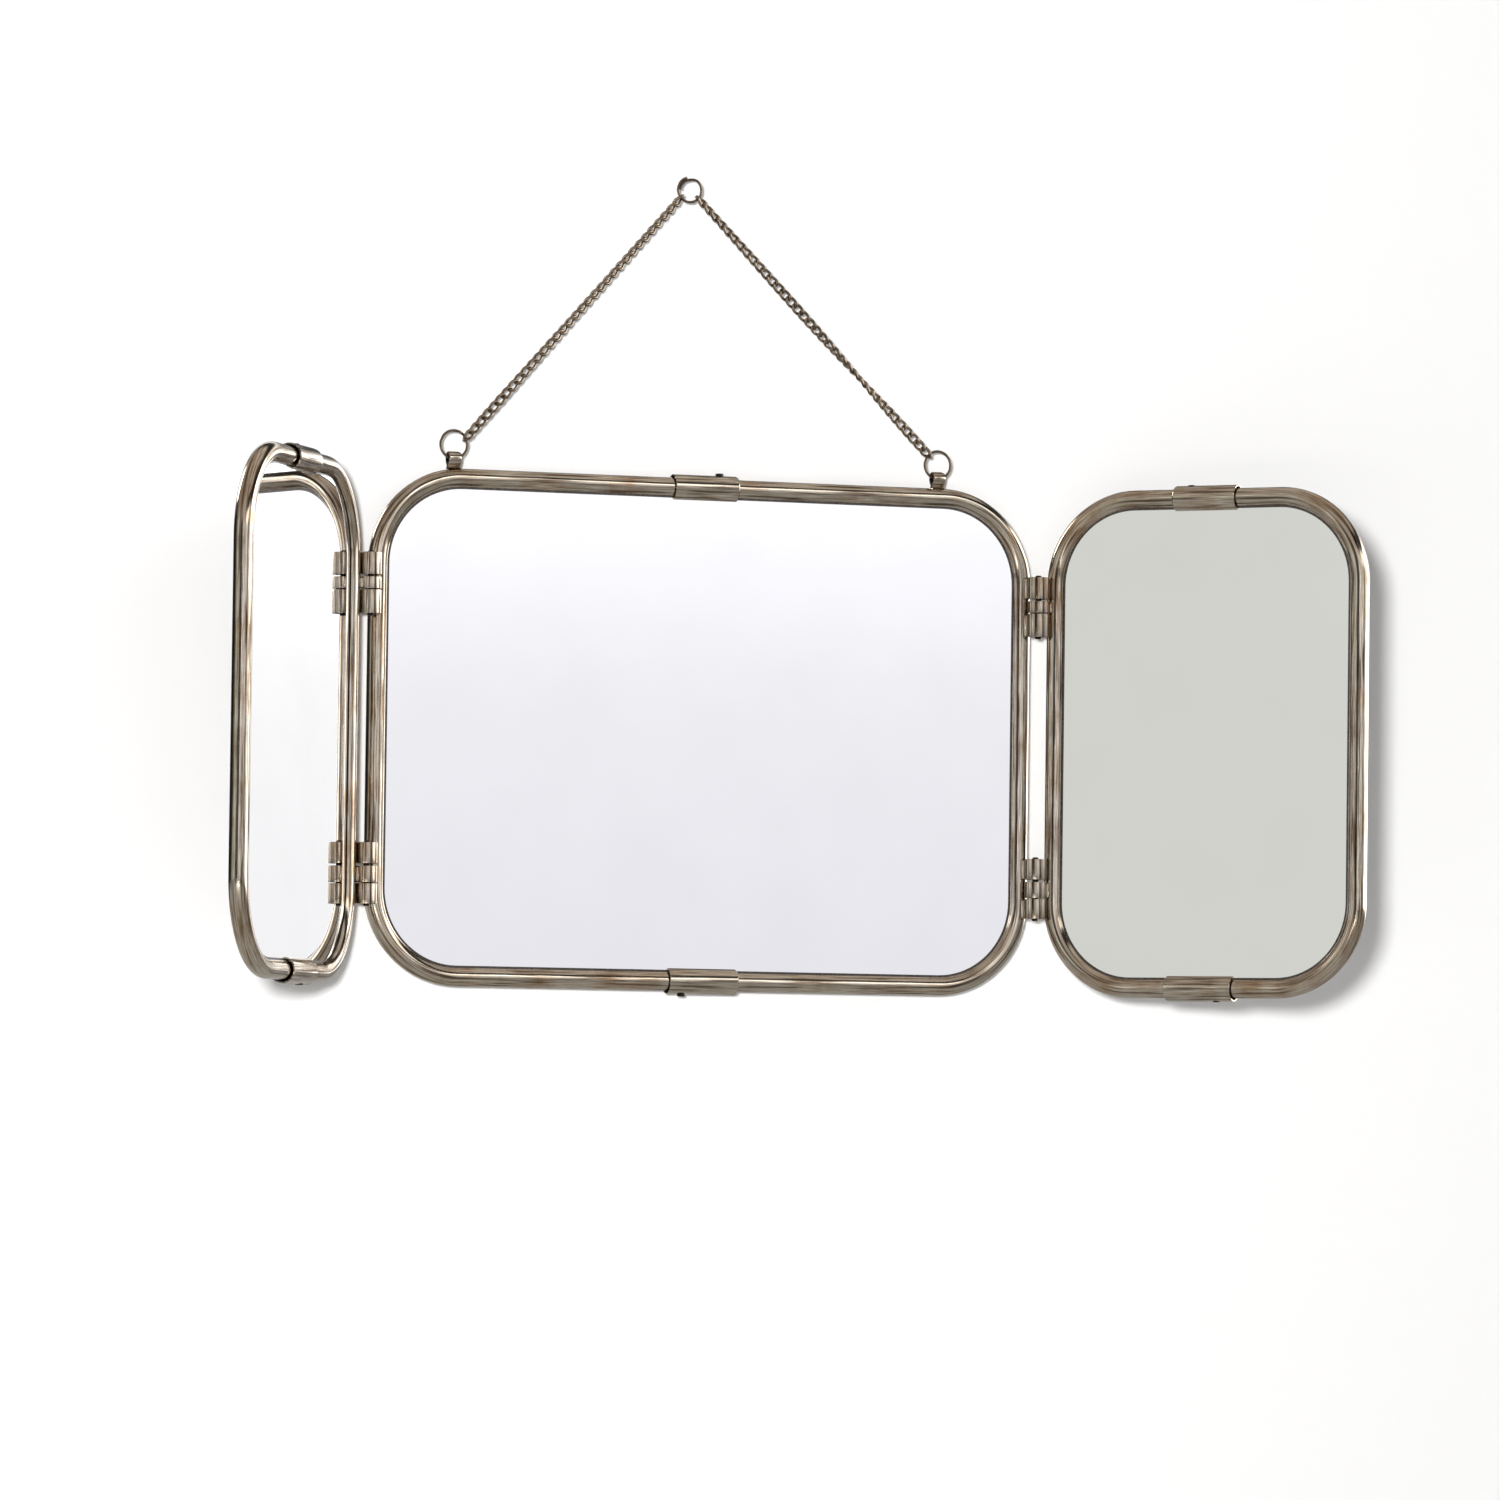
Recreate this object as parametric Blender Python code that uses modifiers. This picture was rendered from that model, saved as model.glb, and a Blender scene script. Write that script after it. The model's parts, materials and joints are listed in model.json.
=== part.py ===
"""Three-panel wall mirror: slotted tube frames on barrel hinges, hung by a chain from one nail.

Metres, +Z up, the mirror's front faces -Y. The origin is where the nail bears on the top ring.
A wide centre frame carries two narrow leaves on vertical hinges, and it hangs from two small
rings, so it also tips about the line through the eyes of its two lugs.
"""
import math

import bmesh
import bpy
from mathutils import Matrix, Vector

# ---- driving dimensions ---------------------------------------------------------------------
FRAME_WIDTH = 0.345          # centre frame, outside to outside
LEAF_WIDTH = 0.172           # each leaf, outside to outside
FRAME_HEIGHT = 0.251         # all three frames
CORNER_RADIUS = 0.047        # outside radius of the bent corners
TUBE_DIAMETER = 0.0095       # frame tube, outside
TUBE_WALL = 0.0009           # frame tube, wall
GLASS_THICKNESS = 0.002
PANEL_THICKNESS = 0.0005     # sheet that closes the back of each mirror
GLASS_EDGE_DEPTH = 0.0006    # from the tube's centre line in to the edge of the glass
SLEEVE_WALL = 0.001          # ferrule that joins two half tubes
SLEEVE_LENGTHS = (0.0333, 0.0357)    # top and bottom
SCREW_DIAMETER = 0.0039      # grub screw through each sleeve
SCREW_PROUD = 0.0011         # how far its head stands out of the sleeve
BARREL_DIAMETER = 0.0107     # hinge knuckles
HINGE_HEIGHT = 0.0298
PIN_DIAMETER = 0.003
PIN_PROUD = 0.0009           # how far the pin shows past each end knuckle
PIN_SIDE = 0.0062            # pin axis, sideways from the frame tube's axis
UPPER_HINGE_DOWN = 0.0428    # from the top of the frame down to the top of its hinge
LOWER_HINGE_UP = 0.0684      # from the bottom of the frame up to the top of its hinge
LUG_WIDTH = 0.0066
LUG_EYE_RADIUS = 0.0024
LUG_WALL = 0.0013
LUG_RISE = 0.0048            # eye of the lug, above the top of the frame
LUG_LEFT = -0.1300           # lugs, sideways from the middle of the frame
LUG_RIGHT = 0.1226
RING_WIRE = 0.0013
CORNER_RING_RADIUS = 0.0068  # to the middle of the wire
TOP_RING_RADIUS = 0.00605
HANG_RISE = 0.1470           # nail above the top of the frame
HANG_SIDE = 0.0100           # middle of the frame, to the right of the nail
CHAIN_WIDTH = 0.0056
CHAIN_THICKNESS = 0.0030
LEFT_FOLD = 54.4             # how far each leaf stands folded forward, in degrees
RIGHT_FOLD = 47.3
# where the half tubes meet, top and bottom, sideways from the middle of their frame
CENTRE_JOINS = (-0.0003, 0.0011)
LEFT_JOINS = (0.0005, 0.0035)
RIGHT_JOINS = (-0.0004, -0.0014)
# the grub screws, top and bottom, sideways from the middle of their sleeve
CENTRE_SCREWS = (0.0078, -0.0103)
LEFT_SCREWS = (-0.0075, 0.0075)
RIGHT_SCREWS = (-0.0084, 0.0087)
# the top and middle knuckles of a hinge, as shares of its height
UPPER_HINGE_SHARES = (0.37, 0.20)
LOWER_HINGE_SHARES = (0.35, 0.275)
# where the left and right chain hook on, in degrees anticlockwise from +X
TOP_RING_HOOKS = (222.0, 318.0)
CORNER_RING_HOOKS = (27.0, 137.0)
GLASS_SETBACK = 0.0003       # front of the glass, behind the front lip of the groove
SLEEVE_SLOT_SPARE = 0.0036   # the sleeve's slit is cut this much past each end

# ---- clearances -----------------------------------------------------------------------------
TOUCH = 0.0003               # between pieces that bear on each other
SLEEVE_SPARE = 0.00065       # between the inside of a sleeve and the tube
BORE_GAP = 0.0003            # around a pin in its bore
SLEEVE_MOUTH_GAP = 0.00035   # between the rolled end of a sleeve and the tube
HALF_GAP = 0.0004            # between the two half tubes, inside the sleeve
LEAF_SAG_GAP = 0.0009        # opens above the leaf's knuckle
LEAF_REST_GAP = 0.0003       # left below it, where it rests

# ---- facets ---------------------------------------------------------------------------------
CORNER_STEPS = 8
TUBE_STEPS = 14
BORE_STEPS = 10
TURN_STEPS = 20
SMALL_TURN_STEPS = 12        # screws and pins
RING_STEPS = 32
WIRE_STEPS = 8
WELD = 0.000001              # points nearer than this are one

# the groove along the inside of the tube takes the glass and the sheet behind it
SLOT_WIDTH = GLASS_SETBACK + GLASS_THICKNESS + TOUCH + PANEL_THICKNESS + TOUCH
SLEEVE_DIAMETER = TUBE_DIAMETER + 2 * (SLEEVE_SPARE + SLEEVE_WALL)
UPPER_HINGE_TOP = FRAME_HEIGHT / 2 - UPPER_HINGE_DOWN
LOWER_HINGE_TOP = LOWER_HINGE_UP - FRAME_HEIGHT / 2
HANG_HEIGHT = FRAME_HEIGHT / 2 + HANG_RISE

TUBE_RADIUS = TUBE_DIAMETER / 2
SLEEVE_RADIUS = SLEEVE_DIAMETER / 2
BARREL_RADIUS = BARREL_DIAMETER / 2
PIN_RADIUS = PIN_DIAMETER / 2
# the barrel lies in the valley between the two tubes, just touching both
PIN_FRONT = math.sqrt((TUBE_RADIUS + BARREL_RADIUS + TOUCH) ** 2 - PIN_SIDE ** 2)
GLASS_FRONT = GLASS_SETBACK - SLOT_WIDTH / 2
GLASS_BACK = GLASS_FRONT + GLASS_THICKNESS
PANEL_FRONT = GLASS_BACK + TOUCH
EYE_HEIGHT = FRAME_HEIGHT / 2 + LUG_RISE
FRAME_CENTRE = Vector((HANG_SIDE, 0.0, -HANG_HEIGHT))

FINISHES = {
    "frame": ((0.33, 0.27, 0.22, 1.0), 1.0, 0.32),
    "sleeve": ((0.36, 0.30, 0.24, 1.0), 1.0, 0.30),
    "hinge": ((0.37, 0.31, 0.25, 1.0), 1.0, 0.34),
    "chain": ((0.20, 0.16, 0.12, 1.0), 1.0, 0.38),
    "screw": ((0.03, 0.03, 0.03, 1.0), 1.0, 0.45),
    "mirror": ((0.86, 0.87, 0.87, 1.0), 1.0, 0.03),
    "panel": ((0.10, 0.085, 0.07, 1.0), 0.0, 0.60),
}


def clear_scene():
    for item in list(bpy.data.objects):
        bpy.data.objects.remove(item, do_unlink=True)


def new_collection(name):
    collection = bpy.data.collections.new(name)
    bpy.context.scene.collection.children.link(collection)
    return collection


def finish_for(kind):
    """One Principled material for each finish."""
    material = bpy.data.materials.get(kind)
    if material:
        return material
    colour, metallic, roughness = FINISHES[kind]
    material = bpy.data.materials.new(kind)
    material.use_nodes = True
    shader = material.node_tree.nodes["Principled BSDF"]
    shader.inputs["Base Color"].default_value = colour
    shader.inputs["Metallic"].default_value = metallic
    shader.inputs["Roughness"].default_value = roughness
    material.diffuse_color = colour
    return material


def add_object(name, data, collection, parent=None, location=(0, 0, 0), rotation=(0, 0, 0)):
    item = bpy.data.objects.new(name, data)
    collection.objects.link(item)
    item.parent = parent
    item.location = location
    item.rotation_euler = rotation
    return item


def set_finish(item, kind):
    item.data.materials.clear()
    item.data.materials.append(finish_for(kind))


def as_cutter(item):
    item.hide_render = True
    item.display_type = "WIRE"
    return item


def smooth(item, angle=40.0):
    item.data.shade_smooth()
    item.data.set_sharp_from_angle(angle=math.radians(angle))


def arc(centre, radius, start, end, steps):
    """Points on an arc in a plane, both ends included, angles in degrees."""
    points = []
    for i in range(steps + 1):
        angle = math.radians(start + (end - start) * i / steps)
        points.append((centre[0] + radius * math.cos(angle), centre[1] + radius * math.sin(angle)))
    return points


def flat_curve(name, points, closed):
    """A curve in the XY plane through the points."""
    curve = bpy.data.curves.new(name, "CURVE")
    curve.dimensions = "2D"
    spline = curve.splines.new("POLY")
    spline.points.add(len(points) - 1)
    for i, (x, y) in enumerate(points):
        spline.points[i].co = (x, y, 0.0, 1.0)
    spline.use_cyclic_u = closed
    return curve


def rounded_outline(width, height, radius, steps):
    """A rounded rectangle about the origin, anticlockwise."""
    x = width / 2 - radius
    y = height / 2 - radius
    points = arc((x, y), radius, 0, 90, steps)
    points += arc((-x, y), radius, 90, 180, steps)
    points += arc((-x, -y), radius, 180, 270, steps)
    points += arc((x, -y), radius, 270, 360, steps)
    return points


def half_route(width, join_top, join_bottom, side):
    """Centre line of one half tube, from its bottom end round the side to its top end."""
    radius = CORNER_RADIUS - TUBE_RADIUS
    x = width / 2 - CORNER_RADIUS
    y = FRAME_HEIGHT / 2 - CORNER_RADIUS
    points = [(join_bottom * side + HALF_GAP / 2, -y - radius)]
    points += arc((x, -y), radius, -90, 0, CORNER_STEPS)
    points += arc((x, y), radius, 0, 90, CORNER_STEPS)
    points.append((join_top * side + HALF_GAP / 2, y + radius))
    return [(side * px, py) for px, py in points]


def slotted_section(slot_side):
    """The tube's cross-section: a ring with a gap on the mirror side, as one closed outline."""
    bore = TUBE_RADIUS - TUBE_WALL
    half = SLOT_WIDTH / 2
    outer = math.degrees(math.asin(half / TUBE_RADIUS))
    inner = math.degrees(math.asin(half / bore))
    points = arc((0, 0), TUBE_RADIUS, outer, 360 - outer, TUBE_STEPS)
    points += arc((0, 0), bore, 360 - inner, inner, BORE_STEPS)
    return [(slot_side * px, py) for px, py in points]


def mesh_from_curve(item, collection):
    """The curve's solid as a mesh with welded caps; the curve goes."""
    bpy.context.view_layer.update()
    evaluated = item.evaluated_get(bpy.context.evaluated_depsgraph_get())
    mesh = bpy.data.meshes.new_from_object(evaluated)
    name = item.name
    matrix = item.matrix_world.copy()
    parent = item.parent
    bpy.data.objects.remove(item, do_unlink=True)
    work = bmesh.new()
    work.from_mesh(mesh)
    bmesh.ops.remove_doubles(work, verts=work.verts, dist=WELD)
    bmesh.ops.recalc_face_normals(work, faces=work.faces)
    work.to_mesh(mesh)
    work.free()
    solid = add_object(name, mesh, collection, parent)
    solid.matrix_world = matrix
    return solid


def sweep(name, route, section, collection, parent, location):
    """A section carried along a flat route, stood upright in the frame's plane."""
    profile = add_object(name + "_section", flat_curve(name + "_section", section, True), collection)
    curve = flat_curve(name, route, False)
    curve.bevel_mode = "OBJECT"
    curve.bevel_object = profile
    curve.use_fill_caps = True
    path = add_object(name, curve, collection, parent, location, (math.radians(90), 0, 0))
    solid = mesh_from_curve(path, collection)
    bpy.data.objects.remove(profile, do_unlink=True)
    return solid


def plate(name, width, thickness, front, kind, collection, parent, location):
    """Mirror glass or back sheet, its edges inside the tubes' grooves."""
    inset = TUBE_RADIUS + GLASS_EDGE_DEPTH
    outline = rounded_outline(width - 2 * inset, FRAME_HEIGHT - 2 * inset,
                              CORNER_RADIUS - inset, CORNER_STEPS)
    curve = flat_curve(name, outline, True)
    curve.fill_mode = "BOTH"
    curve.extrude = thickness / 2
    place = Vector(location) + Vector((0, front + thickness / 2, 0))
    item = add_object(name, curve, collection, parent, place, (math.radians(90), 0, 0))
    solid = mesh_from_curve(item, collection)
    set_finish(solid, kind)
    return solid


def turned(name, profile, closed, steps, collection, parent, location, rotation=(0, 0, 0)):
    """A profile of (radius, height) points, outer side from top to bottom, turned about Z."""
    mesh = bpy.data.meshes.new(name)
    work = bmesh.new()
    verts = [work.verts.new((radius, 0, height)) for radius, height in profile]
    pairs = list(zip(verts, verts[1:]))
    if closed:
        pairs.append((verts[-1], verts[0]))
    edges = [work.edges.new(pair) for pair in pairs]
    bmesh.ops.spin(work, geom=verts + edges, cent=(0, 0, 0), axis=(0, 0, 1),
                   angle=math.radians(360), steps=steps)
    bmesh.ops.remove_doubles(work, verts=work.verts, dist=WELD)
    bmesh.ops.recalc_face_normals(work, faces=work.faces)
    work.to_mesh(mesh)
    work.free()
    item = add_object(name, mesh, collection, parent, location, rotation)
    smooth(item)
    return item


def boolean(item, cutter, operation="DIFFERENCE"):
    cut = item.modifiers.new(operation.title(), "BOOLEAN")
    cut.operation = operation
    cut.solver = "EXACT"
    cut.object = cutter
    return cut


def box_cutter(name, size, collection, parent, location):
    mesh = bpy.data.meshes.new(name)
    work = bmesh.new()
    bmesh.ops.create_cube(work, size=1.0, matrix=Matrix.Diagonal((*size, 1.0)))
    work.to_mesh(mesh)
    work.free()
    return as_cutter(add_object(name, mesh, collection, parent, location))


def rod_cutter(name, radius, length, collection, parent, location, rotation=(0, 0, 0)):
    mesh = bpy.data.meshes.new(name)
    work = bmesh.new()
    bmesh.ops.create_cone(work, cap_ends=True, segments=TURN_STEPS,
                          radius1=radius, radius2=radius, depth=length)
    work.to_mesh(mesh)
    work.free()
    return as_cutter(add_object(name, mesh, collection, parent, location, rotation))


def sleeve(name, length, middle, up, open_end, screw_side, parts, cutters, parent):
    """Ferrule along X over the joint of two half tubes, slit for the glass, with its screw.

    open_end is the end (+1 or -1 along X) left wide; the other end is rolled in to the tube.
    up is +1 for the top of the frame and -1 for the bottom.
    """
    half = length / 2
    bore = SLEEVE_RADIUS - SLEEVE_WALL
    mouth = TUBE_RADIUS + SLEEVE_MOUTH_GAP
    roll = bore - mouth
    profile = [
        (SLEEVE_RADIUS - roll, half),
        (SLEEVE_RADIUS, half - roll),
        (SLEEVE_RADIUS, -half),
        (bore, -half),
        (bore, half - roll - SLEEVE_WALL),
        (mouth, half - SLEEVE_WALL),
        (mouth, half),
    ]
    turn = math.radians(-90 * open_end)
    body = turned(name, profile, True, TURN_STEPS, parts, parent, middle, (0, turn, 0))
    set_finish(body, "sleeve")
    reach = SLEEVE_RADIUS + TOUCH
    slit = (length + 2 * SLEEVE_SLOT_SPARE, SLOT_WIDTH, reach)
    slot = box_cutter(name + "_slot", slit, cutters, parent,
                      middle + Vector((0, 0, -up * reach / 2)))
    boolean(body, slot)
    across = Vector((screw_side, 0, 0))
    hole = rod_cutter(name + "_hole", SCREW_DIAMETER / 2 + BORE_GAP, reach, cutters, parent,
                      middle + across + Vector((0, 0, up * (mouth + reach / 2))))
    boolean(body, hole)
    grub_screw(name.replace("sleeve", "screw"), middle + across, up, parts, cutters, parent)


def grub_screw(name, middle, up, parts, cutters, parent):
    """Short slotted screw through the sleeve, bearing on the tube inside."""
    tip = TUBE_RADIUS + TOUCH
    head = SLEEVE_RADIUS + SCREW_PROUD
    radius = SCREW_DIAMETER / 2
    edge = radius / 5
    profile = [(0, head), (radius - edge, head), (radius, head - edge),
               (radius, tip + edge), (radius - edge, tip), (0, tip)]
    turn = (0, 0, 0) if up > 0 else (math.radians(180), 0, 0)
    screw = turned(name, profile, False, SMALL_TURN_STEPS, parts, parent, middle, turn)
    set_finish(screw, "screw")
    kerf = box_cutter(name + "_kerf", (SCREW_DIAMETER * 2, radius / 2, edge * 3), cutters, parent,
                      middle + Vector((0, 0, up * head)))
    boolean(screw, kerf)


def panel_frame(prefix, width, parent, centre, parts, cutters, side_names, joins, screws, ends):
    """One framed mirror: two half tubes, two sleeves with screws, glass and back sheet.

    joins, screws and ends give, for top and bottom, where the halves meet sideways of the
    middle, where the screw sits sideways of that, and which end of the sleeve is open.
    """
    for side, word in zip((-1, 1), side_names):
        route = half_route(width, joins[0], joins[1], side)
        tube = sweep(f"{prefix}_tube_{word}", route, slotted_section(-side), parts, parent, centre)
        set_finish(tube, "frame")
        smooth(tube)
    rail = FRAME_HEIGHT / 2 - TUBE_RADIUS
    for i, (word, up) in enumerate((("top", 1), ("bottom", -1))):
        middle = centre + Vector((joins[i], 0, up * rail))
        sleeve(f"{prefix}_sleeve_{word}", SLEEVE_LENGTHS[i], middle, up, ends[i], screws[i],
               parts, cutters, parent)
    plate(f"{prefix}_mirror", width, GLASS_THICKNESS, GLASS_FRONT, "mirror", parts, parent, centre)
    plate(f"{prefix}_back_panel", width, PANEL_THICKNESS, PANEL_FRONT, "panel",
          parts, parent, centre)


def knuckle(name, height, top, parts, parent, place):
    """One barrel of a hinge, hanging down from its top."""
    edge = BARREL_RADIUS / 16
    bore = PIN_RADIUS + BORE_GAP
    profile = [
        (BARREL_RADIUS - edge, 0),
        (BARREL_RADIUS, -edge),
        (BARREL_RADIUS, edge - height),
        (BARREL_RADIUS - edge, -height),
        (bore, -height),
        (bore, 0),
    ]
    item = turned(name, profile, True, TURN_STEPS, parts, parent, place + Vector((0, 0, top)))
    set_finish(item, "hinge")


def hinge(prefix, top, shares, frame, leaf, pin_place, parts):
    """Outer knuckles and pin on the centre frame, middle knuckle on the leaf."""
    upper, middle = (share * HINGE_HEIGHT for share in shares)
    lower = HINGE_HEIGHT - upper - middle - LEAF_SAG_GAP - LEAF_REST_GAP
    knuckle(f"{prefix}_knuckle_top", upper, top, parts, frame, pin_place)
    middle_top = top - upper - LEAF_SAG_GAP
    knuckle(f"{prefix}_knuckle_middle", middle, middle_top, parts, leaf, Vector())
    lower_top = middle_top - middle - LEAF_REST_GAP
    knuckle(f"{prefix}_knuckle_bottom", lower, lower_top, parts, frame, pin_place)
    edge = PIN_RADIUS / 4
    high = top + PIN_PROUD
    low = top - HINGE_HEIGHT - PIN_PROUD
    profile = [(0, high), (PIN_RADIUS - edge, high), (PIN_RADIUS, high - edge),
               (PIN_RADIUS, low + edge), (PIN_RADIUS - edge, low), (0, low)]
    pin = turned(f"{prefix}_pin", profile, False, SMALL_TURN_STEPS, parts, frame, pin_place)
    set_finish(pin, "screw")


def tube_relief(frame, parts, cutters):
    """The outer shape of the centre frame's tube, a touch larger, to seat the lugs on it."""
    inset = TUBE_RADIUS
    outline = rounded_outline(FRAME_WIDTH - 2 * inset, FRAME_HEIGHT - 2 * inset,
                              CORNER_RADIUS - inset, CORNER_STEPS)
    curve = flat_curve("tube_relief", outline, True)
    curve.bevel_depth = TUBE_RADIUS + TOUCH
    curve.bevel_resolution = 3
    path = add_object("tube_relief", curve, parts, frame, (0, 0, 0), (math.radians(90), 0, 0))
    solid = mesh_from_curve(path, cutters)
    return as_cutter(solid)


def lug(name, across, relief, frame, parts, cutters):
    """A strip folded round the ring, its two ends brought down onto the tube."""
    outer = LUG_EYE_RADIUS + LUG_WALL
    leg = 2 * LUG_WALL + TOUCH
    mesh = bpy.data.meshes.new(name)
    work = bmesh.new()
    turn = Matrix.Rotation(math.radians(90), 4, "Y")
    bmesh.ops.create_cone(work, cap_ends=True, segments=TURN_STEPS, radius1=outer,
                          radius2=outer, depth=LUG_WIDTH, matrix=turn)
    work.to_mesh(mesh)
    work.free()
    place = Vector((across, 0, EYE_HEIGHT))
    item = add_object(name, mesh, parts, frame, place)
    depth = LUG_RISE + TUBE_RADIUS
    neck = box_cutter(name + "_neck", (LUG_WIDTH - 2 * TOUCH, leg, depth), cutters, frame,
                      place - Vector((0, 0, depth / 2)))
    boolean(item, neck, "UNION")
    eye = rod_cutter(name + "_eye", LUG_EYE_RADIUS, LUG_WIDTH * 2, cutters, frame, place,
                     (0, math.radians(90), 0))
    boolean(item, eye)
    boolean(item, relief)
    set_finish(item, "hinge")


def ring(name, radius, centre, parts, parent):
    """A wire ring that stands in the plane of the frame."""
    bpy.ops.mesh.primitive_torus_add(major_radius=radius, minor_radius=RING_WIRE / 2,
                                     major_segments=RING_STEPS, minor_segments=WIRE_STEPS)
    item = bpy.context.object
    item.name = name
    for owner in list(item.users_collection):
        owner.objects.unlink(item)
    parts.objects.link(item)
    item.parent = parent
    item.location = centre
    item.rotation_euler = (math.radians(90), 0, 0)
    set_finish(item, "chain")
    smooth(item)


def on_ring(centre, radius, degrees):
    angle = math.radians(degrees)
    return centre + Vector((math.cos(angle), 0, math.sin(angle))) * radius


def past_wire(hook, centre, radius, along):
    """How far along from its hook the bar starts, to clear the whole wire of that ring."""
    offset = hook - centre
    aside = max(0.0, offset.cross(along).length - CHAIN_WIDTH / 2)
    reach = radius + RING_WIRE / 2 + TOUCH
    return math.sqrt(reach ** 2 - aside ** 2) - offset.dot(along)


def chain(name, top_hook, corner_hook, corner_centre, parts, parent):
    """The room that one chain takes, as a flat bar between the wires of its two rings."""
    top_centre = Vector((0, 0, RING_WIRE / 2 - TOP_RING_RADIUS))
    start = on_ring(top_centre, TOP_RING_RADIUS, top_hook)
    end = on_ring(corner_centre, CORNER_RING_RADIUS, corner_hook)
    along = (end - start).normalized()
    start += along * past_wire(start, top_centre, TOP_RING_RADIUS, along)
    end -= along * past_wire(end, corner_centre, CORNER_RING_RADIUS, -along)
    mesh = bpy.data.meshes.new(name)
    work = bmesh.new()
    size = Matrix.Diagonal(((end - start).length, CHAIN_THICKNESS, CHAIN_WIDTH, 1.0))
    bmesh.ops.create_cube(work, size=1.0, matrix=size)
    work.to_mesh(mesh)
    work.free()
    tilt = math.atan2(along.z, along.x)
    item = add_object(name, mesh, parts, parent, (start + end) / 2, (0, -tilt, 0))
    bevel = item.modifiers.new("Edges", "BEVEL")
    bevel.width = CHAIN_THICKNESS / 4
    bevel.segments = 2
    set_finish(item, "chain")


def build():
    clear_scene()
    parts = new_collection("triptych_wall_mirror")
    cutters = new_collection("cutters")
    hanger = add_object("hanger", None, parts)
    tilt = FRAME_CENTRE + Vector((0, 0, EYE_HEIGHT))
    tilt_axis = add_object("frame_tilt_axis", None, parts, hanger, tilt)
    frame = add_object("centre_frame", None, parts, tilt_axis, (0, 0, -EYE_HEIGHT))

    panel_frame("centre", FRAME_WIDTH, frame, Vector(), parts, cutters, ("left", "right"),
                CENTRE_JOINS, CENTRE_SCREWS, (-1, -1))

    leaves = (
        ("left", -1, -LEFT_FOLD, LEFT_JOINS, LEFT_SCREWS, (-1, -1), ("free", "hinge")),
        ("right", 1, RIGHT_FOLD, RIGHT_JOINS, RIGHT_SCREWS, (1, 1), ("hinge", "free")),
    )
    hinges = (
        ("upper", UPPER_HINGE_TOP, UPPER_HINGE_SHARES),
        ("lower", LOWER_HINGE_TOP, LOWER_HINGE_SHARES),
    )
    pin_across = FRAME_WIDTH / 2 - TUBE_RADIUS + PIN_SIDE
    for word, side, fold, joins, screws, ends, names in leaves:
        pin_place = Vector((side * pin_across, -PIN_FRONT, 0))
        turn = (0, 0, math.radians(-fold))
        leaf = add_object(f"{word}_leaf_axis", None, parts, frame, pin_place, turn)
        centre = Vector((side * (PIN_SIDE + LEAF_WIDTH / 2 - TUBE_RADIUS), PIN_FRONT, 0))
        panel_frame(f"{word}_leaf", LEAF_WIDTH, leaf, centre, parts, cutters, names,
                    joins, screws, ends)
        for level, top, shares in hinges:
            hinge(f"{word}_{level}_hinge", top, shares, frame, leaf, pin_place, parts)

    relief = tube_relief(frame, parts, cutters)
    top_centre = Vector((0, 0, RING_WIRE / 2 - TOP_RING_RADIUS))
    ring("ring_top", TOP_RING_RADIUS, top_centre, parts, hanger)
    strands = zip(("left", "right"), (LUG_LEFT, LUG_RIGHT), TOP_RING_HOOKS, CORNER_RING_HOOKS)
    for word, across, top_hook, corner_hook in strands:
        lug(f"lug_{word}", across, relief, frame, parts, cutters)
        centre = FRAME_CENTRE + Vector((across, 0, EYE_HEIGHT + CORNER_RING_RADIUS))
        ring(f"ring_{word}", CORNER_RING_RADIUS, centre, parts, hanger)
        chain(f"chain_{word}", top_hook, corner_hook, centre, parts, hanger)


build()
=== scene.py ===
"""Triptych wall mirror: the looks of its tube frames, hinges, mirrors, rings and curb chains.

Metres, +Z up, the mirrors face -Y. The origin is where the nail bears on the top ring.
"""

import json
import math

import bmesh
import bpy
from mathutils import Matrix, Quaternion, Vector


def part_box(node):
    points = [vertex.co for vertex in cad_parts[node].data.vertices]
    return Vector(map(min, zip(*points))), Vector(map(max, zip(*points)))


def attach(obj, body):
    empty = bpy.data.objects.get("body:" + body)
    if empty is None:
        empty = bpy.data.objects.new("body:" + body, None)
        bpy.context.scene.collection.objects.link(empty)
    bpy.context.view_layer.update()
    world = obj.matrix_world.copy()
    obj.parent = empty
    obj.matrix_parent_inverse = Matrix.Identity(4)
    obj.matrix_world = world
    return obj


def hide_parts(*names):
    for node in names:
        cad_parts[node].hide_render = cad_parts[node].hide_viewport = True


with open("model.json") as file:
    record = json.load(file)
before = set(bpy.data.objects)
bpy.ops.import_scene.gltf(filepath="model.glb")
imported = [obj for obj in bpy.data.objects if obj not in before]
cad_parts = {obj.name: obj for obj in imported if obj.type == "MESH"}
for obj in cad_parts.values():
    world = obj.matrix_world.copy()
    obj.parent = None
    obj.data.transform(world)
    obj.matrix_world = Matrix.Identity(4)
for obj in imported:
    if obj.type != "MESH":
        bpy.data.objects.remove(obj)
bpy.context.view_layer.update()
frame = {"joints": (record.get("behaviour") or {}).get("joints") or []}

bl_info = {
    "name": "Triptych wall mirror",
    "version": (1, 0, 0),
    "blender": (4, 5, 0),
    "location": "View3D > Sidebar > Mirror",
    "description": "Builds a three-panel wall mirror in slotted tube frames, hung by a chain",
    "category": "Object",
}

MM = 0.001

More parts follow.
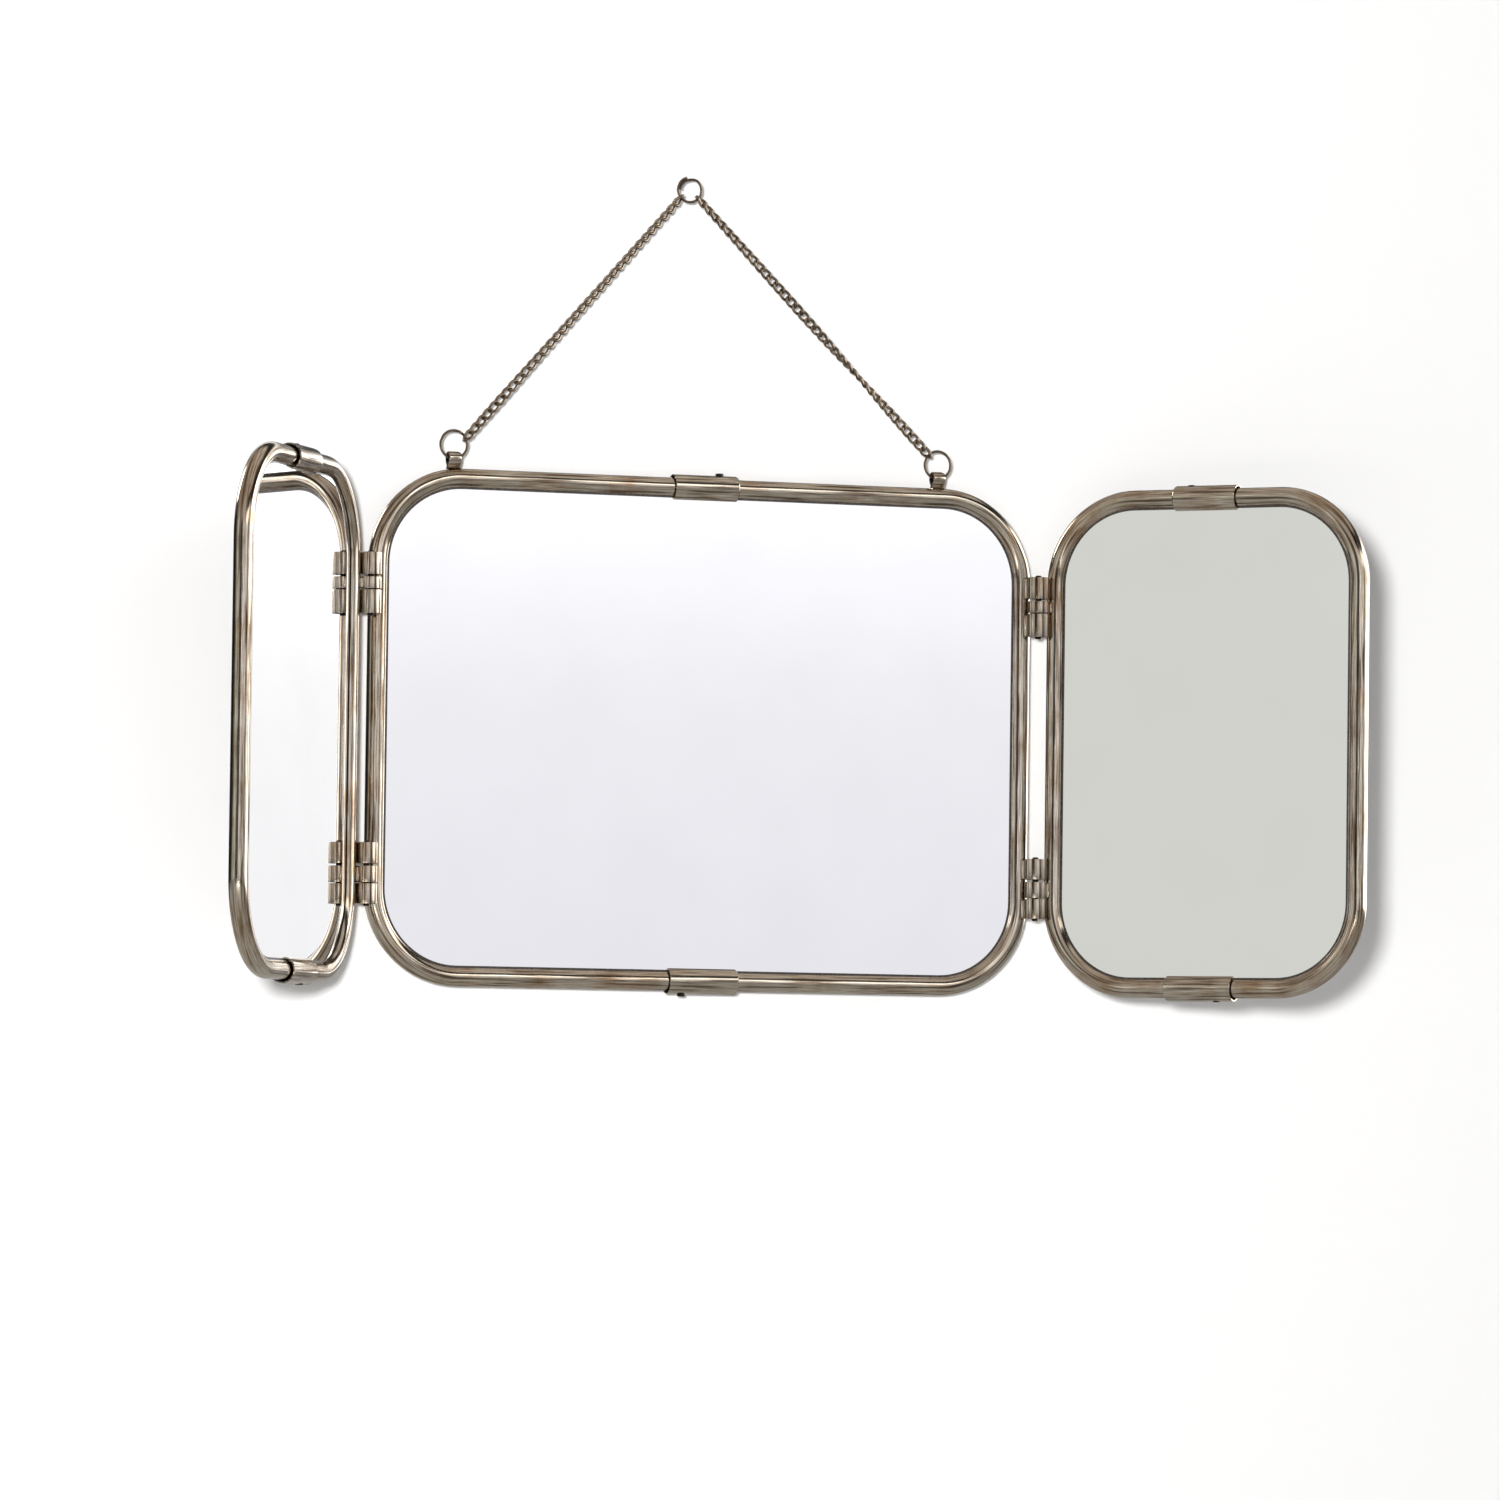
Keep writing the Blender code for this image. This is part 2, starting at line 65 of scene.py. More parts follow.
# ---- frame sizes ----------------------------------------------------------------------------
FRAME_WIDTH = 345.0 * MM
LEAF_WIDTH = 172.0 * MM
FRAME_HEIGHT = 251.0 * MM
CORNER_RADIUS = 47.0 * MM
TUBE_RADIUS = 4.73 * MM
TUBE_WALL = 0.9 * MM
AXIS_INSET = 4.75 * MM           # from the outside of the frame to the tube's centre line
SLOT_WIDTH = 3.4 * MM
GLASS_FRONT = -1.4 * MM
GLASS_BACK = 0.6 * MM
PANEL_FRONT = 0.9 * MM
PANEL_BACK = 1.4 * MM
PLATE_INSET = 5.35 * MM          # from the outside of the frame to the edge of the glass
PIN_SIDE = 6.2 * MM
RAIL = FRAME_HEIGHT / 2 - AXIS_INSET
HALF_GAP = 0.4 * MM              # between the ends of the half tubes, inside a sleeve
# width of the glass margin beside the frame that is painted brown-black, as painted shade and a
# painted dark reflection
PAINTED_SHADE_MARGIN = 0.8 * MM           # of the glass, that shows beside the frame
SHEET_RIM = 5.0 * MM             # flat rim of the back sheet
SHEET_STEP = 2.0 * MM            # sloping step between its rim and its field
SLEEVE_LENGTHS = {"top": 33.3 * MM, "bottom": 35.7 * MM}
LEAF_SCREW_SINK = 0.9 * MM
LUG_RISE = 4.8 * MM              # eye of the lug, above the top of the frame

# ---- rings and chains, angles in degrees ------------------------------------------------------
RING_GAP = 3                     # between the ends of a plain ring's wire
PULL_START = 290                 # where the end of a split ring's wire starts to move inwards
PULL_RUN = 70                    # and over how far
# ring, where its wire starts, how far its end runs on inside its start
RING_WIRES = (("top", 105, 75), ("left", 60, 0), ("right", 110, 0))
# strand, where it hooks onto the top ring and the corner ring, turn at each end, ease
STRANDS = (("left", (222, 27), -45, 45, 3.5), ("right", (318, 137), -45, 225, 1.6))

# ---- facets ---------------------------------------------------------------------------------
CORNER_STEPS = 20
TUBE_STEPS = 40
BORE_STEPS = 16
TURN_STEPS = 48
LINK_STEPS = 28
WIRE_STEPS = 10
RING_STEPS = 90
WELD = 0.001 * MM

# ---- panels: name, body, width, names of the half tubes, open end of the sleeves --------------
PANELS = (
    ("centre", "centre_frame", FRAME_WIDTH, ("left", "right"), -1),
    ("left_leaf", "left_leaf", LEAF_WIDTH, ("free", "hinge"), -1),
    ("right_leaf", "right_leaf", LEAF_WIDTH, ("hinge", "free"), 1),
)
SIDES = (("left", -1), ("right", 1))


# ---- colours and finishes -------------------------------------------------------------------
def colour(code):
    """An sRGB hex colour as linear red, green, blue and alpha."""
    linear = []
    for i in (0, 2, 4):
        share = int(code[i:i + 2], 16) / 255
        linear.append(share / 12.92 if share <= 0.04045 else ((share + 0.055) / 1.055) ** 2.4)
    return (*linear, 1.0)


def add_node(tree, kind, sockets=None, **settings):
    """Adds a node. sockets maps an input to a value, or to the output that feeds it."""
    item = tree.nodes.new(kind)
    for key, value in settings.items():
        setattr(item, key, value)
    for key, value in (sockets or {}).items():
        if isinstance(value, bpy.types.NodeSocket):
            tree.links.new(value, item.inputs[key])
        else:
            item.inputs[key].default_value = value
    return item


def ramp(tree, source, bands):
    """A colour ramp with a stop for each (place from 0 to 1, colour, share) of the bands."""
    item = add_node(tree, "ShaderNodeValToRGB", {"Fac": source})
    stops = item.color_ramp.elements
    while len(stops) < len(bands):
        stops.new(1.0)
    for stop, (place, code, share) in zip(stops, bands):
        stop.position = place
        stop.color = (*(channel * share for channel in colour(code)[:3]), 1.0)
    return item


def mottle(tree, size, detail, roughness=0.5):
    """Cloudy noise in the piece's own space. size is how far apart the clouds lie."""
    place = add_node(tree, "ShaderNodeTexCoord")
    return add_node(tree, "ShaderNodeTexNoise",
                    {"Vector": place.outputs["Object"], "Scale": 1 / size, "Detail": detail,
                     "Roughness": roughness})


def brush_lines(tree, along, across, detail):
    """Noise drawn out along the piece, with so many streaks a metre along it and across it."""
    brush_map = add_node(tree, "ShaderNodeUVMap", uv_map="brush")
    stretched = add_node(tree, "ShaderNodeMapping",
                         {"Vector": brush_map.outputs[0], "Scale": (along, across, 1)})
    return add_node(tree, "ShaderNodeTexNoise",
                    {"Vector": stretched.outputs[0], "Scale": 1.0, "Detail": detail})


def start_material(name):
    """A new material with an empty node tree."""
    material = bpy.data.materials.new(name)
    material.use_nodes = True
    material.node_tree.nodes.clear()
    return material, material.node_tree


def close_material(tree, shader):
    add_node(tree, "ShaderNodeOutputMaterial", {"Surface": shader.outputs[0]})


def aged_metal(name, face, worn, tarnish, stain, roughness, streak=(16 * MM, 0.35 * MM),
               patch=24 * MM):
    """Nickel over brass, brushed along its length, browned in patches where the plate is thin.

    The brushing draws fine pale and dark lines that run along the tube, and blurs what it
    reflects a little unevenly. The patches shift the grey-taupe towards brown, and long thin
    stains, where polish and dirt have dried, draw darker lines along the piece.
    """
    material, tree = start_material(name)
    brushing = brush_lines(tree, 1 / streak[0], 1 / streak[1], 4.0)
    clouds = mottle(tree, patch, 5.0, 0.62)
    brown = add_node(tree, "ShaderNodeMapRange",
                     {"Value": clouds.outputs[0], "From Min": 0.46, "From Max": 0.68})
    base = add_node(tree, "ShaderNodeMix",
                    {0: brown.outputs[0], 6: colour(face), 7: colour(tarnish)}, data_type="RGBA")
    rubbed = add_node(tree, "ShaderNodeMapRange",
                      {"Value": brushing.outputs[0], "From Min": 0.47, "From Max": 0.68})
    bright = add_node(tree, "ShaderNodeMix",
                      {0: rubbed.outputs[0], 6: base.outputs[2], 7: colour(worn)},
                      data_type="RGBA")
    runs = brush_lines(tree, 0.4 / streak[0], 0.25 / streak[1], 3.0)
    stained = add_node(tree, "ShaderNodeMapRange",
                       {"Value": runs.outputs[0], "From Min": 0.51, "From Max": 0.64,
                        "To Max": 0.85})
    finish = add_node(tree, "ShaderNodeMix",
                      {0: stained.outputs[0], 6: bright.outputs[2], 7: colour(stain)},
                      data_type="RGBA")
    blur = add_node(tree, "ShaderNodeMapRange",
                    {"Value": brushing.outputs[0], "From Min": 0.25, "From Max": 0.75,
                     "To Min": roughness * 0.75, "To Max": roughness * 1.3})
    relief = add_node(tree, "ShaderNodeBump",
                      {"Height": brushing.outputs[0], "Strength": 0.12, "Distance": 0.03 * MM})
    shader = add_node(tree, "ShaderNodeBsdfPrincipled",
                      {"Base Color": finish.outputs[2], "Metallic": 1.0,
                       "Roughness": blur.outputs[0], "Normal": relief.outputs[0]})
    close_material(tree, shader)
    return material


def black_steel(name):
    """Blackened steel, tumbled: near black, with a dull gleam and fine pitting 0.4 mm across."""
    material, tree = start_material(name)
    pits = mottle(tree, 0.4 * MM, 3.0)
    tone = ramp(tree, pits.outputs[0], ((0.0, "120f0d", 1.0), (1.0, "35302b", 1.0)))
    relief = add_node(tree, "ShaderNodeBump",
                      {"Height": pits.outputs[0], "Strength": 0.2, "Distance": 0.05 * MM})
    shader = add_node(tree, "ShaderNodeBsdfPrincipled",
                      {"Base Color": tone.outputs[0], "Metallic": 0.9, "Roughness": 0.42,
                       "Normal": relief.outputs[0]})
    close_material(tree, shader)
    return material


def silvered_glass(name):
    """Old silvered float glass: a clear reflection with the faintest cloudy toning, 40 mm across."""
    material, tree = start_material(name)
    clouds = mottle(tree, 40 * MM, 3.0)
    tone = ramp(tree, clouds.outputs[0], ((0.30, "f3f3f4", 1.0), (0.75, "f0f0f1", 1.0)))
    blur = add_node(tree, "ShaderNodeMapRange",
                    {"Value": clouds.outputs[0], "To Min": 0.008, "To Max": 0.03})
    shader = add_node(tree, "ShaderNodeBsdfPrincipled",
                      {"Base Color": tone.outputs[0], "Metallic": 1.0,
                       "Roughness": blur.outputs[0]})
    close_material(tree, shader)
    return material


def glass_edge_painted_shade(name):
    """The margin of the mirror glass beside the frame, painted brown-black and mottled: painted
    shade and a painted dark reflection of the frame's groove.

    The spots are about 0.8 mm across and draw a broken dark line of painted shade along the frame.
    """
    material, tree = start_material(name)
    spots = mottle(tree, 0.8 * MM, 3.0)
    # painted shade: the brown-black mottle stands in for the shade and the dark reflection at the
    # frame's groove
    tone = ramp(tree, spots.outputs[0], ((0.40, "211c18", 1.0), (0.80, "5a5148", 1.0)))
    shader = add_node(tree, "ShaderNodeBsdfPrincipled",
                      {"Base Color": tone.outputs[0], "Roughness": 0.25, "IOR": 1.52})
    close_material(tree, shader)
    return material


def lacquered_sheet(name):
    """Dark brown lacquer on tin sheet: an even sheen with orange peel about 1.5 mm across."""
    material, tree = start_material(name)
    peel = mottle(tree, 1.5 * MM, 2.0)
    dust = mottle(tree, 60 * MM, 6.0)
    tone = ramp(tree, dust.outputs[0], ((0.35, "3b332c", 1.0), (0.70, "4d443b", 1.0)))
    relief = add_node(tree, "ShaderNodeBump",
                      {"Height": peel.outputs[0], "Strength": 0.15, "Distance": 0.1 * MM})
    shader = add_node(tree, "ShaderNodeBsdfPrincipled",
                      {"Base Color": tone.outputs[0], "Roughness": 0.42,
                       "Normal": relief.outputs[0]})
    close_material(tree, shader)
    return material


def plain_paint(name, code):
    """Matt wall paint: pale and even, with no gloss."""
    material, tree = start_material(name)
    shader = add_node(tree, "ShaderNodeBsdfDiffuse", {"Color": colour(code)})
    return material, tree, shader


def finish_of(kind):
    """The material of that finish, made the first time it is asked for."""
    found = bpy.data.materials.get(kind)
    if found:
        return found
    look = bpy.context.scene.mirror_looks
    face, worn, tarnish = look.metal_face, look.metal_worn, look.metal_tarnish
    makers = {
        "brushed_aged_nickel": lambda n: aged_metal(n, face, worn, tarnish, look.metal_stain,
                                                    look.metal_blur),
        "bronzed_wire": lambda n: aged_metal(n, look.chain_face, look.chain_worn,
                                             look.chain_tarnish, look.metal_stain, 0.26,
                                             (4 * MM, 0.3 * MM), 6 * MM),
        "dark_bronzed_wire": lambda n: aged_metal(n, look.ring_face, look.chain_face,
                                                  look.ring_tarnish, look.metal_stain, 0.26,
                                                  (4 * MM, 0.3 * MM), 6 * MM),
        "blackened_steel": black_steel,
        "silvered_glass": silvered_glass,
        # the glass margin, painted brown-black as painted shade and a painted dark reflection
        "glass_edge_painted_shade": glass_edge_painted_shade,
        "lacquered_tin": lacquered_sheet,
    }
    return makers[kind](kind)


# ---- mesh building --------------------------------------------------------------------------
def loft(work, rings, loop=False, caps=True, around=False):
    """Faces between rings of points. The brush map runs from ring to ring, or around them."""
    layer = work.loops.layers.uv.get("brush") or work.loops.layers.uv.new("brush")
    verts = [[work.verts.new(point) for point in ring] for ring in rings]
    count = len(rings[0])
    across = [0.0]
    for first, second in zip(rings[0], rings[0][1:] + rings[0][:1]):
        across.append(across[-1] + (second - first).length)
    middles = [sum(ring, Vector()) / count for ring in rings]
    along = [0.0]
    for i in range(len(rings)):
        onward = (i + 1) % len(rings)
        step = (middles[onward] - middles[i]).length
        if around:
            step = max((rings[onward][j] - rings[i][j]).length for j in range(count))
        along.append(along[-1] + step)
    for i in range(len(rings) if loop else len(rings) - 1):
        onward = (i + 1) % len(rings)
        for j in range(count):
            beside = (j + 1) % count
            face = work.faces.new((verts[i][j], verts[i][beside],
                                   verts[onward][beside], verts[onward][j]))
            places = ((i, j), (i, j + 1), (i + 1, j + 1), (i + 1, j))
            for corner, (row, column) in zip(face.loops, places):
                pair = (along[row], across[column])
                corner[layer].uv = pair[::-1] if around else pair
    if caps and not loop:
        work.faces.new(verts[0][::-1])
        work.faces.new(verts[-1])


def revolve(work, profile, matrix, start=0.0, end=360.0, seam=None):
    """A closed profile of (radius, height) points turned about the matrix's Z axis.

    seam is (angle, depth): a fine groove along the outside at that angle.
    """
    full = abs(end - start) >= 360
    outer = max(radius for radius, _ in profile)
    angles = [start + (end - start) * i / TURN_STEPS for i in range(TURN_STEPS + (0 if full else 1))]
    cuts = {}
    if seam:
        angle, depth = seam
        width = math.degrees(depth / outer)
        for offset, share in ((-width, 0.0), (0.0, 1.0), (width, 0.0)):
            cuts[angle + offset] = depth * share
        angles = sorted([a for a in angles if abs(a - angle) > width * 1.5] + list(cuts))
    rings = []
    for angle in angles:
        turn = math.radians(angle)
        pull = cuts.get(angle, 0.0)
        ring = []
        for radius, height in profile:
            reach = radius - pull if radius > outer * 0.8 else radius
            ring.append(matrix @ Vector((reach * math.cos(turn), reach * math.sin(turn), height)))
        rings.append(ring)
    loft(work, rings, loop=full, around=True)


def circle(radius, steps):
    turn = 2 * math.pi / steps
    return [(radius * math.cos(i * turn), radius * math.sin(i * turn)) for i in range(steps)]


def wire(work, points, radius, closed, up=Vector((0, 1, 0))):
    """Round wire through the points."""
    rings = []
    last = len(points) - 1
    for i, point in enumerate(points):
        before = points[i - 1] if i > 0 or closed else point
        after = points[(i + 1) % len(points)] if i < last or closed else point
        onward = (after - before).normalized()
        side = onward.cross(up).normalized()
        over = side.cross(onward)
        rings.append([point + side * x + over * y for x, y in circle(radius, WIRE_STEPS)])
    loft(work, rings, loop=closed)


def arc(centre, radius, start, end, steps):
    """Points on an arc in a plane, both ends included, angles in degrees."""
    points = []
    for i in range(steps + 1):
        turn = math.radians(start + (end - start) * i / steps)
        points.append(Vector((centre[0] + radius * math.cos(turn),
                              centre[1] + radius * math.sin(turn))))
    return points


def on_circle(radius, degrees):
    """A point at that angle on a circle about the origin."""
    return arc((0, 0), radius, degrees, degrees, 1)[0]


def finish_piece(name, work, kind, body, nodes, sharp=38.0):
    """Turns the mesh into a piece that rides on its body and stands for its CAD nodes."""
    bmesh.ops.remove_doubles(work, verts=work.verts, dist=WELD)
    bmesh.ops.recalc_face_normals(work, faces=work.faces)
    mesh = bpy.data.meshes.new(name)
    work.to_mesh(mesh)
    work.free()
    mesh.shade_smooth()
    mesh.set_sharp_from_angle(angle=math.radians(sharp))
    mesh.materials.append(finish_of(kind))
    item = bpy.data.objects.new(name, mesh)
    bpy.context.scene.collection.objects.link(item)
    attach(item, body)
    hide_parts(*nodes)
    return item


# ---- where things are -----------------------------------------------------------------------
def joint(name):
    return next(item for item in frame["joints"] if item["name"] == name)


def middle_of(node):
    low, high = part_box(node)
    return (low + high) / 2


def panel_matrix(prefix):
    """From a panel's own middle to the whole mirror, with the leaves folded as they hang."""
    if prefix == "centre":
        eye = Vector(joint("frame_tilt")["pos_m"])
        return Matrix.Translation(Vector((eye.x, 0, joint("left_leaf_fold")["pos_m"][2])))
    word = prefix.split("_")[0]
    side = dict(SIDES)[word]
    fold = joint(f"{word}_leaf_fold")
    pin = Vector(fold["pos_m"])
    turn = Matrix.Rotation(math.radians(side * fold["range_deg"][0]), 4, "Z")
    across = side * (PIN_SIDE + LEAF_WIDTH / 2 - AXIS_INSET)
    return Matrix.Translation(pin) @ turn @ Matrix.Translation(Vector((across, -pin.y, 0)))


def in_panel(prefix, node):
    return panel_matrix(prefix).inverted() @ middle_of(node)


# ---- pieces ---------------------------------------------------------------------------------
def tube_section():
    """A ring with a gap on the mirror's side and rounded lips, as (outward, back) points."""
    bore = TUBE_RADIUS - TUBE_WALL
    half = SLOT_WIDTH / 2
    outer = 180 - math.degrees(math.asin((half + 0.15 * MM) / TUBE_RADIUS))
    inner = 180 - math.degrees(math.asin((half + 0.15 * MM) / bore))
    points = arc((0, 0), TUBE_RADIUS, -outer, outer, TUBE_STEPS)
    lip = (TUBE_RADIUS + bore) / 2
    at = math.degrees(math.asin(half / lip))
    points.append(on_circle(lip, 180 - at))
    points += arc((0, 0), bore, inner, -inner, BORE_STEPS)
    points.append(on_circle(lip, at - 180))
    return points


def half_tube(prefix, body, width, word, side):
    matrix = panel_matrix(prefix)
    radius = CORNER_RADIUS - AXIS_INSET
    x = width / 2 - CORNER_RADIUS
    z = FRAME_HEIGHT / 2 - CORNER_RADIUS
    section = tube_section()
    stations = []
    low, high = (in_panel(prefix, f"{prefix}_sleeve_{end}").x for end in ("bottom", "top"))
    stations.append((Vector((side * low + HALF_GAP / 2, -RAIL)), -90))
    for centre_z, start in ((-z, -90), (z, 0)):
        for i, point in enumerate(arc((x, centre_z), radius, start, start + 90, CORNER_STEPS)):
            stations.append((point, start + 90 * i / CORNER_STEPS))
    stations.append((Vector((side * high + HALF_GAP / 2, RAIL)), 90))
    rings = []
    for point, angle in stations:
        turn = math.radians(angle)
        outward = Vector((math.cos(turn), 0, math.sin(turn)))
        ring = []
        for away, back in section:
            spot = Vector((point.x, 0, point.y)) + outward * away + Vector((0, back, 0))
            spot.x *= side
            ring.append(matrix @ spot)
        rings.append(ring)
    work = bmesh.new()
    loft(work, rings)
    finish_piece(f"{prefix}_{word}_half_tube", work, "brushed_aged_nickel", body,
                 [f"{prefix}_tube_{word}"])


def sleeve_profile(size, length_along):
    """Section of a sleeve: wide and thin-lipped at one end, rolled in to the tube at the other."""
    half = length_along / 2
    outer = size.sleeve_radius
    bore = outer - size.sleeve_wall
    mouth = TUBE_RADIUS + 0.12 * MM
    roll = 0.9 * MM
    points = [(bore, -half), (bore + 0.12 * MM, -half), (outer - 0.12 * MM, -half),
              (outer, -half + 0.15 * MM)]
    points += [(p.x, p.y) for p in arc((outer - roll, half - roll), roll, 0, 75, 6)]
    points += [(mouth, half), (mouth, half - 0.8 * MM), (bore, half - 2.2 * MM)]
    return points


def sleeve(prefix, body, end, open_end):
    name = f"{prefix}_sleeve_{end}"
    up = 1 if end == "top" else -1
    place = in_panel(prefix, name)
    middle = Vector((place.x, 0, up * RAIL))
    size = bpy.context.scene.mirror_sizes
    # the profile's Z runs along the tube towards the rolled end; angle 0 points out of the frame
    along = Vector((-open_end, 0, 0))
    outward = Vector((0, 0, up))
    side = along.cross(outward)
    turned = Matrix((outward, side, along)).transposed().to_4x4()
    matrix = panel_matrix(prefix) @ Matrix.Translation(middle) @ turned
    opening = math.degrees(math.asin(SLOT_WIDTH / 2 / (size.sleeve_radius - 0.2 * MM)))
    work = bmesh.new()
    profile = sleeve_profile(size, SLEEVE_LENGTHS[end])
    revolve(work, profile, matrix, opening - 180, 180 - opening)
    finish_piece(f"{prefix}_{end}_ferrule", work, "brushed_aged_nickel", body, [name])


def grub_screw(prefix, body, end):
    """A short screw whose slotted head stands just out of the sleeve."""
    name = f"{prefix}_screw_{end}"
    low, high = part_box(name)
    radius = (high.x - low.x) / 2 * 0.995
    up = 1 if end == "top" else -1
    middle = (low + high) / 2
    head = (high.z - low.z) / 2
    if prefix != "centre":
        # the leaves' screws are driven in almost flush
        middle.z -= up * LEAF_SCREW_SINK / 2
        head -= LEAF_SCREW_SINK / 2
    kerf = radius * 0.22
    deep = radius * 0.45
    matrix = Matrix.Translation(middle) @ Matrix.Rotation(0 if up > 0 else math.pi, 4, "X")
    turn = matrix @ Matrix.Rotation(math.radians(25), 4, "Z")
    work = bmesh.new()
    for side in (-1, 1):
        # each half of the head, on its own side of the slot
        start = math.degrees(math.asin(kerf / radius))
        outline = arc((0, 0), radius, start, 180 - start, 18)
        inner = arc((0, 0), radius * 0.88, start, 180 - start, 18)
        rows = ((outline, head - deep), (outline, head - 0.12 * radius), (inner, head))
        rings = [[turn @ Vector((p.x, side * p.y, z)) for p in points] for points, z in rows]
        loft(work, rings)
    body_rows = ((radius * 0.9, -head), (radius, -head + 0.1 * radius), (radius, head - deep))
    rings = [[turn @ Vector((x, y, z)) for x, y in circle(r, 36)] for r, z in body_rows]
    loft(work, rings)
    finish_piece(f"{prefix}_{end}_grub_screw", work, "blackened_steel", body, [name])


def knuckle_profile(bore, outer, low, high, edge):
    """Section of a barrel with rounded ends, as (radius, height) points."""
    points = [(bore, low), (outer - edge, low)]
    points += [(p.x, p.y) for p in arc((outer - edge, low + edge), edge, -70, 0, 4)]
    points += [(p.x, p.y) for p in arc((outer - edge, high - edge), edge, 0, 70, 4)]
    points += [(outer - edge, high), (bore, high)]
    return points


def knuckle(prefix, word, body, size):
    name = f"{prefix}_knuckle_{word}"
    low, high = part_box(name)
    pin = joint(prefix.split("_")[0] + "_leaf_fold")["pos_m"]
    base = Matrix.Translation(Vector((pin[0], pin[1], 0)))
    outer = size.barrel_radius
    profile = knuckle_profile(size.pin_radius + 0.2 * MM, outer,
                              low.z + 0.15 * MM, high.z - 0.05 * MM, 0.18 * MM)
    work = bmesh.new()
    revolve(work, profile, base, seam=(size.seam_angle, size.seam_depth))
    finish_piece(f"{prefix}_{word}_barrel", work, "brushed_aged_nickel", body,
                 [name])


def hinge_pin(prefix, size):
    name = f"{prefix}_pin"
    low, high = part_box(name)
    pin = joint(prefix.split("_")[0] + "_leaf_fold")["pos_m"]
    base = Matrix.Translation(Vector((pin[0], pin[1], 0)))
    radius = size.pin_radius
    edge = radius * 0.4
    profile = [(0, low.z), (radius - edge, low.z)]
    profile += [(p.x, p.y) for p in arc((radius - edge, low.z + edge), edge, -80, 0, 4)]
    profile += [(p.x, p.y) for p in arc((radius - edge, high.z - edge), edge, 0, 80, 4)]
    profile += [(radius - edge, high.z), (0, high.z)]
    work = bmesh.new()
    revolve(work, profile, base)
    finish_piece(f"{prefix}_pin_rod", work, "blackened_steel", "centre_frame", [name])


def braze(name, body, low, high, tube, barrel, size):
    """Fillets of braze in the two valleys between a barrel and the tube that carries it."""
    gap = barrel - tube
    reach = gap.length
    line = gap.normalized()
    fillet = size.braze_radius
    a = TUBE_RADIUS + fillet
    b = size.barrel_radius + fillet
    down = (a * a - b * b + reach * reach) / (2 * reach)
    rise = math.sqrt(a * a - down * down)
    work = bmesh.new()
    for side in (-1, 1):
        over = Vector((-line.y, line.x)) * side
        middle = tube + line * down + over * rise
        on_tube = (tube - middle).normalized()
        on_barrel = (barrel - middle).normalized()
        outline = []
        for i in range(9):
            outline.append(middle + on_tube.slerp(on_barrel, i / 8) * fillet)
        # behind the hollow the fillet runs a little into both, so that no crack shows
        outline.append(barrel - line * (size.barrel_radius - 0.2 * MM))
        outline.append(tube + line * (TUBE_RADIUS - 0.2 * MM))
        ends = ((low, 0.75), (low + 0.5 * MM, 1.0), (high - 0.5 * MM, 1.0), (high, 0.75))
        core = (outline[-1] + outline[-2]) / 2
        rings = []
        for z, share in ends:
            rings.append([Vector((*(core + (p - core) * share), z)) for p in outline])
        loft(work, rings)
    finish_piece(name, work, "brushed_aged_nickel", body, [])


def braze_hinge(prefix, side, size):
    """The outer barrels are brazed to the centre frame, the middle one to the leaf."""
    word = prefix.split("_")[0]
    pin = Vector(joint(f"{word}_leaf_fold")["pos_m"])
    centre_tube = Vector((pin.x - side * PIN_SIDE, 0))
    leaf = panel_matrix(f"{word}_leaf") @ Vector((-side * (LEAF_WIDTH / 2 - AXIS_INSET), 0, 0))
    barrel = Vector((pin.x, pin.y))
    for level in ("top", "middle", "bottom"):
        low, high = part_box(f"{prefix}_knuckle_{level}")
        own = level == "middle"
        tube = Vector((leaf.x, leaf.y)) if own else centre_tube
        body = f"{word}_leaf" if own else "centre_frame"
        trim = 0.5 * MM
        braze(f"{prefix}_{level}_braze", body, low.z + trim, high.z - trim, tube, barrel, size)


def lug(word, size):
    """A strip folded round the ring, pinched below it and brazed onto the tube."""
    name = f"lug_{word}"
    low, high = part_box(name)
    eye = Vector(((low.x + high.x) / 2, 0, joint("frame_tilt")["pos_m"][2]))
    wall = size.lug_wall
    loop = size.lug_eye + wall
    foot = TUBE_RADIUS - AXIS_INSET - LUG_RISE
    outside = [(p.x, p.y) for p in arc((0, 0), loop, -40, 220, 22)]
    pinch = -loop - 0.3 * MM
    flare = 2.6 * MM
    outline = [(flare, foot), (wall + 0.15 * MM, foot + 1.1 * MM), (wall + 0.1 * MM, pinch)]
    outline += outside
    outline += [(-wall - 0.1 * MM, pinch), (-wall - 0.15 * MM, foot + 1.1 * MM), (-flare, foot)]
    outline += [(-flare * 0.5, foot - 0.5 * MM), (flare * 0.5, foot - 0.5 * MM)]
    half = size.lug_width / 2
    work = bmesh.new()
    stations = ((-half, 0.94), (-half + 0.3 * MM, 1.0), (half - 1.2 * MM, 1.0), (half, 0.86))
    rings = []
    for x, share in stations:
        rings.append([eye + Vector((x, y * share, z * share if z > 0 else z)) for y, z in outline])
    loft(work, rings)
    piece = finish_piece(f"{word}_lug_strip", work, "brushed_aged_nickel", "centre_frame",
                         [name], 30)
    bore = bmesh.new()
    rod = [[eye + Vector((x, y, z)) for y, z in circle(size.lug_eye, 28)]
           for x in (-half * 2, half * 2)]
    loft(bore, rod)
    bmesh.ops.recalc_face_normals(bore, faces=bore.faces)
    cut_away(piece, bore)


